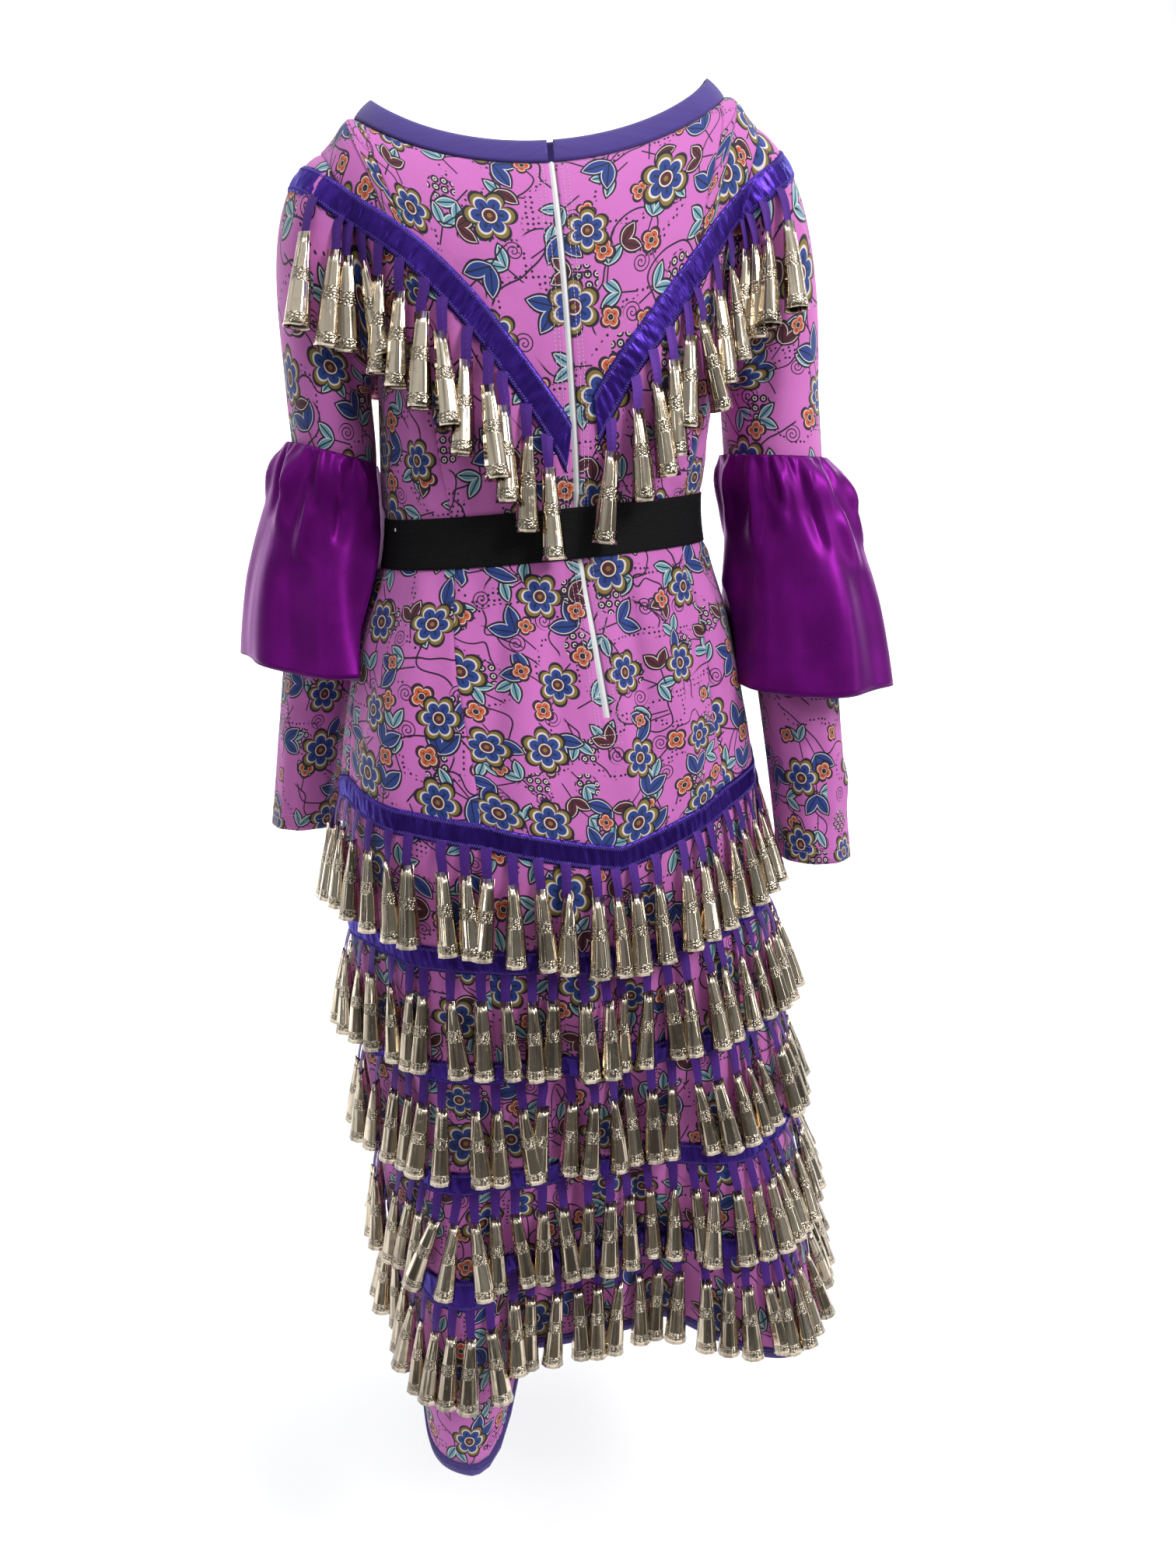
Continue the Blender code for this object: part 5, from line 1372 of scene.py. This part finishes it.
@functools.lru_cache(maxsize=None)
def yoke_lines(side, marks=64):
    """The trim's five long lines, from the zip over the sleeve cap and down the back, and its normals."""
    front = [hit((x, -0.5, z), (0, 1, 0)) for x, z in YOKE[side]]
    back = [hit((x, 0.5, z), (0, -1, 0)) for x, z in YOKE[side]]
    path = np.array(front + [nearest(YOKE_TOP[side])[0]] + back[::-1])
    path = np.array([nearest(p)[0] for p in evenly(path, marks, run_of(path))])
    path = evened(path, 3)
    normal = unit(evened(np.array([nearest(p)[1] for p in path]), 5))
    along = unit(np.gradient(path, axis=0))
    across = unit(np.cross(normal, along))
    if across[3, 2] > 0:
        across = -across
    # both ends are cut upright along the zip, so the lower edge runs on and the upper edge stops short
    cut = np.array([1.0, 0.78, 0.5, 0.25, 0.08])
    ends = np.zeros(marks)
    ends[:5] = -cut
    ends[-5:] = cut[::-1]
    wide = bpy.context.scene.dress_sizes.ribbon
    grid = []
    for share in (-0.5, -0.25, 0.0, 0.25, 0.5):
        slide = along * (ends * YOKE_CUT * 2 * share)[:, None]
        grid.append(evened(np.array([nearest(p)[0] for p in path + across * wide * share + slide]), 1))
    return np.array(grid), normal


def refined(grid, rows, cols):
    """The grid on more rows and columns, by cubics both ways."""
    wide = np.stack([evenly(line, cols) for line in grid])
    return np.stack([evenly(wide[:, j], rows) for j in range(cols)], axis=1)


class DRESS_OT_yoke_trims(bpy.types.Operator):
    """Satin ribbons of the yoke, from the zip over each sleeve head to the middle of the back"""

    bl_idname = "dress.yoke_trims"
    bl_label = "Yoke ribbons"

    def execute(self, context):
        size = context.scene.dress_sizes
        material = ribbon_satin("Yoke_Satin", 1.0)
        rows, cols = 9, 300
        for side, seed in (("R", 5.0), ("L", 8.1)):
            grid, normal = yoke_lines(side)
            points = refined(grid, rows, cols)
            normals = np.broadcast_to(unit(evenly(normal, cols)), points.shape)
            if grid_normals(points, False)[rows // 2, cols // 2] @ normals[rows // 2, cols // 2] < 0:
                points, normals = points[:, ::-1], normals[:, ::-1]
            outer = pucker(points + normals * 0.0014, normals, np.linspace(0, 1, rows)[:, None], seed)
            thing = shell(f"Yoke_Ribbon_{side}_Satin", outer, normals, size.satin, flat_map(points))
            finish_piece(thing, material, "trim", "Yoke_Ribbon_" + side)
        return {"FINISHED"}


# ---------------------------------------------------------------- jingles
def reach_out(point, way, z, spread, on_yoke):
    """How far out the cloth comes at this height, across the width of a cone."""
    side = np.array([-way[1], way[0], 0.0])
    found = []
    for share in (-1.0, 0.0, 1.0):
        base = np.array([point[0], point[1], z]) + side * spread * share
        spot = hit(base + way * 0.45, -way, on_yoke)
        if spot is not None and float((spot - base) @ way) > -0.12:
            found.append(float((spot - base) @ way))
    return max(found, default=0.0)


def hang(root, normal, long, on_yoke):
    """A cone's upper end, its lower end and the way out, for a hanger that falls from a root on the cloth."""
    size = bpy.context.scene.dress_sizes
    radial = unit(np.array([root[0], root[1], 0.0]))
    way = unit(np.array([normal[0], normal[1], 0.0]) + 0.35 * radial)
    z_top = root[2] - size.hanger
    z_end = z_top - long
    top_out = reach_out(root, way, z_top, 0.006, on_yoke) + 0.0062
    end_out = reach_out(root, way, z_end, 0.009, on_yoke) + size.cone_wide / 2 + 0.0042
    middle = reach_out(root, way, (z_top + z_end) / 2, 0.008, on_yoke) + 0.0105
    end_out = max(end_out, 2 * middle - top_out)
    low = np.array([root[0], root[1], z_top]) + way * top_out
    tip = np.array([root[0], root[1], z_end]) + way * end_out
    return low, tip, way


@functools.lru_cache(maxsize=None)
def shade_tree():
    """The sleeves and flounces, which the cones must not enter."""
    return tree_of([(grid(side)[0], True) for grid in (sleeve_grid, flounce_grid) for side in "RL"])


def is_clear(low, tip, room=0.0125):
    """True if a cone's axis stays this far from the sleeves and flounces."""
    for share in (0.0, 0.35, 0.7, 1.0):
        spot = low * (1 - share) + tip * share
        near, normal, _, far = shade_tree().find_nearest(Vector(spot))
        need = room * (0.6 + 0.4 * share)
        if far < need or ((Vector(spot) - near) @ normal < 0 and far < 0.06):
            return False
    return True


def spread_even(roots, normals, pitch, long, on_yoke, seed):
    """Places along a line of roots at which the cones' lower ends stand one pitch apart, give or take."""
    ends = np.array([hang(p, n, long, on_yoke)[1] for p, n in zip(roots, normals)])
    length = run_of(ends[:, :2])
    count = max(1, int(length[-1] / pitch))
    middles = (np.arange(count) + 0.5) * length[-1] / count
    marks = np.linspace(0, length[-1], count + 1) if on_yoke else middles
    stray = np.random.default_rng(seed).normal(0, 0.13 * pitch, len(marks))
    return np.interp(np.clip(marks + stray, 0, length[-1]), length, np.arange(len(roots)))


def pick(values, at):
    """Values of a closed or open line at fractional places."""
    i = np.floor(at).astype(int)
    t = (at - i)[:, None]
    return values[i % len(values)] * (1 - t) + values[(i + 1) % len(values)] * t


def strand_frames(roots, normals, long, on_yoke, seed):
    """Each strand that hangs clear: its number, cone's top, axis and level side, and both sides twisted."""
    rng = np.random.default_rng(seed)
    count = len(roots)
    found = []
    drift = np.convolve(rng.normal(0, 1, count + 8), np.ones(5) / 5, "same")[4:-4]
    swing = drift * 8.0 + rng.normal(0, 3.2, count) + (rng.random(count) < 0.07) * rng.normal(0, 11, count)
    push = rng.uniform(0.0, 0.006, count)
    for number, (root, normal) in enumerate(zip(roots, normals)):
        low, tip, way = hang(root, normal, long, on_yoke)
        if not is_clear(low, tip):
            continue
        low = low + way * push[number] * 0.5
        axis = unit(tip + way * push[number] - low)
        side = unit(np.cross(way, axis))
        tilt = np.radians(np.clip(swing[number], -MOST_SWING, MOST_SWING))
        found.append((number, low, unit(axis * np.cos(tilt) + side * np.sin(tilt)), way))
    kept, lows, axes, outs = map(np.array, zip(*found))
    sides = unit(np.cross(outs, axes))
    outs = np.cross(axes, sides)
    twist = (rng.normal(0, 0.36, len(lows)) + (rng.random(len(lows)) < 0.15) * 0.9)[:, None]
    turned = sides * np.cos(twist) + outs * np.sin(twist)
    return kept, lows, axes, sides, turned, np.cross(turned, axes)


# section of a hanger: place across in half widths, and place out, folded to a shallow cup
HANGER_CORNERS = ((-1, -0.00025), (-1, 0.00025), (0, 0.00065), (1, 0.00025), (1, -0.00025), (0, 0.00015))

# cone profile: share of the length, half width and half depth as shares of the mouth's half width, map height
CONE_RINGS = np.array([
    (0.030, 0.50, 0.06, -0.08), (0.000, 0.58, 0.14, 0.00), (0.140, 0.58, 0.34, 0.15),
    (0.400, 0.71, 0.62, 0.40), (0.520, 0.79, 0.73, 0.52), (0.930, 0.97, 0.96, 0.93),
    (1.000, 1.06, 1.05, 1.00), (0.985, 0.90, 0.89, 1.04), (0.840, 0.76, 0.75, 1.16),
])


def cone_mesh(name, lows, axes, sides, outs, long, seed):
    """All the cones of a row in one mesh: each a pinched tube of nine rings on its own axes, closed."""
    size = bpy.context.scene.dress_sizes
    rng = np.random.default_rng(seed + 50)
    count, rings, cones = size.sides, len(CONE_RINGS), len(lows)
    turn = FULL_TURN * np.arange(count) / count
    down, wide, deep, height = CONE_RINGS.T[:, None, :, None]
    half = size.cone_wide / 2 * rng.uniform(0.93, 1.07, cones)[:, None, None]
    down = down * long * rng.uniform(0.985, 1.015, cones)[:, None, None]
    wide = wide * half * np.cos(turn)
    deep = deep * half * np.sin(turn)
    points = (lows[:, None, None] + axes[:, None, None] * down[..., None]
              + sides[:, None, None] * wide[..., None] + outs[:, None, None] * deep[..., None])
    faces = repeated(grid_faces(rings, count, True), rings * count, cones)
    flat = np.stack(np.meshgrid(np.linspace(0, 1, count + 1), height), axis=-1).reshape(-1, 2)
    uv = np.tile(flat[grid_faces(rings, count + 1, False)], (cones, 1, 1))
    thing = make(name, points.reshape(-1, 3), faces, uv)
    own = thing.data.attributes.new("own", "FLOAT", "POINT")
    own.data.foreach_set("value", np.repeat(rng.uniform(0, 1, cones), rings * count).astype(np.float32))
    cap_ends(thing)
    return thing


def hanger_mesh(name, roots, normals, lows, axes, sides, seed):
    """Strips of narrow ribbon: each falls from under the trim, bows out a little and enters its cone."""
    size = bpy.context.scene.dress_sizes
    rng = np.random.default_rng(seed + 90)
    t = np.linspace(0, 1, 8)[None, :, None]
    start = roots + normals * 0.0012 + np.array([0, 0, 0.004])
    end = lows + axes * 0.006
    flat_side = unit(np.cross(np.array([0, 0, 1.0]), normals))
    flat_side = flat_side * np.sign(np.sum(flat_side * sides, axis=1, keepdims=True) + 1e-9)
    bow = rng.uniform(0.0003, 0.0024, len(roots))[:, None, None]
    sway = rng.normal(0, 0.0005, len(roots))[:, None, None]
    path = start[:, None] * (1 - t) + end[:, None] * t
    path = path + normals[:, None] * bow * np.sin(np.pi * t)
    path = path + flat_side[:, None] * sway * np.sin(FULL_TURN * t)
    side = unit(flat_side[:, None] * (1 - t) + sides[:, None] * t)
    wide = size.hanger_wide / 2 * (1 - 0.22 * t)
    out = unit(np.cross(side, unit(np.gradient(path, axis=1))))
    out = out * np.sign(np.sum(out * normals[:, None], axis=-1, keepdims=True) + 1e-9)
    corners = [path + side * wide * across + out * off for across, off in HANGER_CORNERS]
    points = np.stack(corners, axis=2)
    strips, rings, count = points.shape[:3]
    faces = repeated(grid_faces(rings, count, True), rings * count, strips)
    across = np.array([0, 0, 0.5, 1, 1, 0.5, 0]) * size.hanger_wide
    flat = np.stack(np.meshgrid(across, np.linspace(0, size.hanger, rings)), axis=-1).reshape(-1, 2)
    uv = np.tile(flat[grid_faces(rings, count + 1, False)], (strips, 1, 1))
    thing = make(name, points.reshape(-1, 3), faces, uv, smooth_faces=False)
    cap_ends(thing)
    return thing


def jingle_row(name, roots, normals, long, on_yoke, seed, metal, ribbon):
    """The cones and hangers of one row. roots are on the trim's lower edge."""
    kept, lows, axes, level, sides, outs = strand_frames(roots, normals, long, on_yoke, seed)
    cones = cone_mesh(name + "_Cones", lows, axes, sides, outs, long, seed)
    finish_piece(cones, metal, "cone", name)
    ways = level * 0.6 + sides * 0.4
    hangers = hanger_mesh(name + "_Hangers", roots[kept], normals[kept], lows, axes, ways, seed)
    finish_piece(hangers, ribbon, "trim")


class DRESS_OT_jingles(bpy.types.Operator):
    """Rolled tin cones on ribbon hangers, under every trim"""

    bl_idname = "dress.jingles"
    bl_label = "Jingles"

    def execute(self, context):
        size = context.scene.dress_sizes
        metal = rolled_tin("Cone_Tin", tone_of("metal"))
        ribbon = satin("Hanger_Satin", tone_of("hanger"), wrinkle=0.0003, rough=0.50, metal=0.1)
        for number, row in enumerate(RIBBON_ROWS, 1):
            points, normals = ring_at(row + 0.92, row + 1.0, 0.004, 11)
            line, out = points[-1][::3], normals[-1][::3]
            at = spread_even(line, out, size.pitch, size.cone, False, number + 40)
            roots, ways = pick(line, at), unit(pick(out, at))
            jingle_row(f"Skirt_Jingles_{number}", roots, ways, size.cone, False, number, metal, ribbon)
        for side, start in (("R", 5), ("L", 4)):
            grid, normal = yoke_lines(side)
            line, out = evenly(grid[-1], 180), unit(evenly(normal, 180))
            inner = slice(start, -start)
            long, seed = size.yoke_cone, ord(side)
            at = spread_even(line[inner], out[inner], size.yoke_pitch, long, True, seed) + start
            roots, ways = pick(line, at), unit(pick(out, at))
            jingle_row(f"Yoke_Jingles_{side}", roots, ways, long, True, 20 + seed, metal, ribbon)
        return {"FINISHED"}


# ---------------------------------------------------------------- stitching
def stitch_mesh(name, found, wide=0.00060, high=0.00040):
    """Threads that show: each a short three-sided ridge from start to end, sunk at both ends.

    found holds rows of stitches, each as starts, ends and normals."""
    starts, ends, normals = (np.concatenate(parts) for parts in zip(*found))
    along = ends - starts
    side = unit(np.cross(normals, along)) * wide / 2
    top = normals * high
    points = np.stack([starts - side, starts + side, starts + along * 0.2 + top,
                       ends - side, ends + side, ends - along * 0.2 + top], axis=1)
    one = np.array([(0, 3, 5, 2), (1, 2, 5, 4), (0, 1, 4, 3)])
    thing = make(name, points.reshape(-1, 3), repeated(one, 6, len(points)))
    cap_ends(thing)
    return thing


def sampled(path, marks, *values):
    """Each of the values, which go with the points of a path, at the distances marks."""
    step = run_of(path)
    return [np.stack([np.interp(marks, step, rows[:, k]) for k in range(3)], axis=-1) for rows in values]


def straight_stitches(path, normals, long=0.0024, gap=0.0009):
    """Starts, ends and normals of a row of running stitches along a path."""
    marks = np.arange(0.001, run_of(path)[-1] - long, long + gap)
    starts, n = sampled(path, marks, path, normals)
    return starts, sampled(path, marks + long, path)[0], unit(n)


def zigzag_stitches(low, high, normals, pitch=0.0024):
    """Starts, ends and normals of a zigzag between two lines that run side by side."""
    middle = (low + high) / 2
    marks = np.arange(0, run_of(middle)[-1] - pitch, pitch / 2)
    a, b, n = sampled(middle, marks, low, high, normals)
    turns = np.where((np.arange(len(marks)) % 2 == 0)[:, None], a, b)
    return turns[:-1], turns[1:], unit(n)[:-1]


class DRESS_OT_stitching(bpy.types.Operator):
    """Topstitching beside the zip and at the cuffs, and zigzag along the ribbons and hem binding"""

    bl_idname = "dress.stitching"
    bl_label = "Stitching"

    def execute(self, context):
        pale = thread("Topstitch_Thread", (0.80, 0.55, 0.78))
        violet = thread("Ribbon_Thread", (0.085, 0.030, 0.45))
        rows = rows_between(-0.985, ZIP_ROW + 0.13, 0.004)
        offsets = (-ZIP_STITCH, STITCH_GAP - ZIP_STITCH, ZIP_STITCH - STITCH_GAP, ZIP_STITCH)
        found = [straight_stitches(*zip_line(offset, rows, 0.00005)) for offset in offsets]
        across = np.linspace(-ZIP_STITCH, ZIP_STITCH, 12) / COLUMN_WIDE
        found += [straight_stitches(*cloth_at("front", across, ZIP_ROW + extra)) for extra in (0.13, 0.20)]
        finish_piece(stitch_mesh("Zip_Topstitch", found), pale, "print")
        found = []
        for side in "RL":
            points, normals = sleeve_grid(side)
            points = closed(points + normals * 0.0004)
            found += [straight_stitches(points[row], closed(normals)[row]) for row in (-4, -3)]
        finish_piece(stitch_mesh("Cuff_Topstitch", found), pale, "print")
        for number, row in enumerate(RIBBON_ROWS, 1):
            found = [zigzag_on_ring(row, *ends, 0.0019) for ends in ((0.06, 0.19), (0.81, 0.94))]
            finish_piece(stitch_mesh(f"Skirt_Zigzag_{number}", found), violet, "trim")
        found = [zigzag_on_ring(HEM_ROW, 0.06, 0.24, 0.0011), zigzag_on_ring(HEM_ROW, 0.34, 0.52, 0.0014)]
        same = thread("Binding_Thread", tone_of("binding"))
        finish_piece(stitch_mesh("Hem_Zigzag", found), same, "binding")
        for side in "RL":
            grid, normal = yoke_lines(side)
            normals = unit(evenly(normal, 300))
            points = refined(grid, 17, 300) + normals * 0.0020
            found = [zigzag_stitches(points[a], points[b], normals) for a, b in ((1, 3), (13, 15))]
            finish_piece(stitch_mesh(f"Yoke_Zigzag_{side}", found), violet, "trim")
        return {"FINISHED"}


def zigzag_on_ring(row, first, last, lift):
    points, normals = map(closed, ring_at(row + first, row + last, 0.05, 11))
    points = points + normals * lift
    return zigzag_stitches(points[0], points[-1], normals[0])


# ---------------------------------------------------------------- stage
CAMERA_AT = (-0.277, -1.144, -0.318)
CAMERA_AZIMUTH = -15.0
CAMERA_PITCH = 15.1
CAMERA_ROLL = 0.0227
CAMERA_LENS = 36.0 * 1514 / 2016
FLOOR = -1.62


# name, place, what it points at, watts, width, height
LIGHTS = (
    ("Key", (1.25, -1.85, 0.95), (0.0, 0.0, -0.40), 42.0, 0.9, 0.9),
    ("Strip_Left", (-1.7, -1.5, -0.40), (0.0, 0.0, -0.5), 2.2, 0.14, 1.2),
    ("Strip_Right", (1.75, -1.1, -0.35), (0.0, 0.0, -0.5), 4.6, 0.22, 1.2),
    ("Top", (0.0, -0.6, 1.9), (0.0, 0.0, -1.0), 16.0, 1.3, 1.3),
    ("Wall_Right", (3.3, 1.8, 0.9), (1.0, 5.0, -0.4), 150.0, 2.0, 2.0),
    ("Wall_Left", (-2.6, 1.8, 0.9), (-0.6, 5.0, -0.4), 150.0, 2.0, 2.0),
)


class DRESS_OT_stage(bpy.types.Operator):
    """Camera, pale floor and soft studio light"""

    bl_idname = "dress.stage"
    bl_label = "Stage"

    def execute(self, context):
        scene = context.scene
        scene.camera = studio_camera(scene)
        scene.view_settings.view_transform = "Standard"
        scene.world = studio_world()
        floor = studio_sweep("Floor")
        floor.data.materials.append(stage_paint("Floor_Paint"))
        for row in LIGHTS:
            area_light(scene, *row)
        return {"FINISHED"}


def studio_camera(scene):
    """The camera looks along its azimuth and pitch, and is then rolled round that line."""
    az, pitch, roll = np.radians(CAMERA_AZIMUTH), np.radians(CAMERA_PITCH), CAMERA_ROLL
    ahead = np.array([-np.sin(az) * np.cos(pitch), np.cos(az) * np.cos(pitch), -np.sin(pitch)])
    right = np.array([np.cos(az), np.sin(az), 0.0])
    up = np.cross(right, ahead)
    right, up = right * np.cos(roll) - up * np.sin(roll), right * np.sin(roll) + up * np.cos(roll)
    camera = bpy.data.objects.new("Camera", bpy.data.cameras.new("Camera"))
    camera.data.lens = CAMERA_LENS
    camera.data.sensor_width = 36.0
    camera.matrix_world = Matrix([*zip(right, up, -ahead, CAMERA_AT), (0, 0, 0, 1)])
    scene.collection.objects.link(camera)
    return camera


def area_light(scene, name, at, target, watts, wide, tall):
    lamp = bpy.data.lights.new(name, "AREA")
    lamp.energy = watts
    lamp.shape = "RECTANGLE"
    lamp.size = wide
    lamp.size_y = tall
    thing = bpy.data.objects.new(name, lamp)
    thing.location = at
    thing.rotation_euler = (Vector(target) - Vector(at)).to_track_quat("-Z", "Y").to_euler()
    scene.collection.objects.link(thing)


def studio_world():
    """A cool white sky, brighter towards the top and behind the dress."""
    world = bpy.data.worlds.new("World")
    world.use_nodes = True
    graph = Graph("World", world.node_tree)
    _, behind, above = graph.split(graph.wire("ShaderNodeTexCoord", "Generated"))
    above = graph.span(above, -0.1, 0.9, 0.10, 0.85)
    behind = graph.span(behind, -0.30, 0.45, 0.10, 0.60)
    sky = world.node_tree.nodes["Background"].inputs
    graph.put(sky["Strength"], graph.math("MAXIMUM", above, behind))
    graph.put(sky["Color"], (0.92, 0.94, 0.96))
    return world


def studio_sweep(name):
    """A floor that turns up into a far wall: level along y, then a quarter circle, then upright."""
    turn = np.linspace(0, np.pi / 2, 14)
    y = np.concatenate([np.linspace(-3.0, 3.2, 24)[:-1], 3.2 + 1.5 * np.sin(turn), [4.7]])
    z = np.concatenate([np.zeros(23), 1.5 - 1.5 * np.cos(turn), [6.0]]) + FLOOR
    x = np.linspace(-6.5, 6.5, 30)
    points = np.stack(np.broadcast_arrays(x[None], y[:, None], z[:, None]), axis=-1)
    return make(name, points.reshape(-1, 3), grid_faces(len(y), len(x), False)[:, ::-1])


def stage_paint(name):
    """White paint, mottled a little, with painted shade that darkens it in front of the dress."""
    graph = Graph(name)
    place_in = graph.place()
    pale = graph.mix(graph.noise(place_in, 1.5, 3.0), (0.88, 0.88, 0.885), (0.91, 0.91, 0.915))
    # painted shade: the floor goes dark from y -0.45 to -1.5, in front of the dress
    ahead = graph.step(graph.split(place_in)[1], -0.45, -1.5)
    tone = graph.mix(ahead, pale, (0.10, 0.09, 0.08))
    return graph.set(Base_Color=tone, Roughness=0.9, Specular_IOR_Level=0.1)


# ---------------------------------------------------------------- panel and run
STEPS = (
    DRESS_OT_panels, DRESS_OT_sleeves, DRESS_OT_flounces, DRESS_OT_bindings, DRESS_OT_belt, DRESS_OT_zip,
    DRESS_OT_skirt_trims, DRESS_OT_yoke_trims, DRESS_OT_jingles, DRESS_OT_stitching, DRESS_OT_stage,
)


class DRESS_PT_steps(bpy.types.Panel):
    """Lists the dress's pieces and sizes"""

    bl_idname = "DRESS_PT_steps"
    bl_label = "Jingle dress"
    bl_space_type = "VIEW_3D"
    bl_region_type = "UI"
    bl_category = "Jingle dress"

    def draw(self, context):
        for step in STEPS:
            self.layout.operator(step.bl_idname)
        for group in (context.scene.dress_sizes, context.scene.dress_colours):
            for key in group.bl_rna.properties.keys():
                if key not in ("rna_type", "name"):
                    self.layout.prop(group, key)


CLASSES = (DressSizes, DressColours, *STEPS, DRESS_PT_steps)


def register():
    for cls in CLASSES:
        bpy.utils.register_class(cls)
    bpy.types.Scene.dress_sizes = PointerProperty(type=DressSizes)
    bpy.types.Scene.dress_colours = PointerProperty(type=DressColours)


def unregister():
    del bpy.types.Scene.dress_colours
    del bpy.types.Scene.dress_sizes
    for cls in reversed(CLASSES):
        bpy.utils.unregister_class(cls)


def main():
    register()
    for step in STEPS:
        getattr(bpy.ops.dress, step.bl_idname.split(".")[1])()


if __name__ == "__main__":
    main()
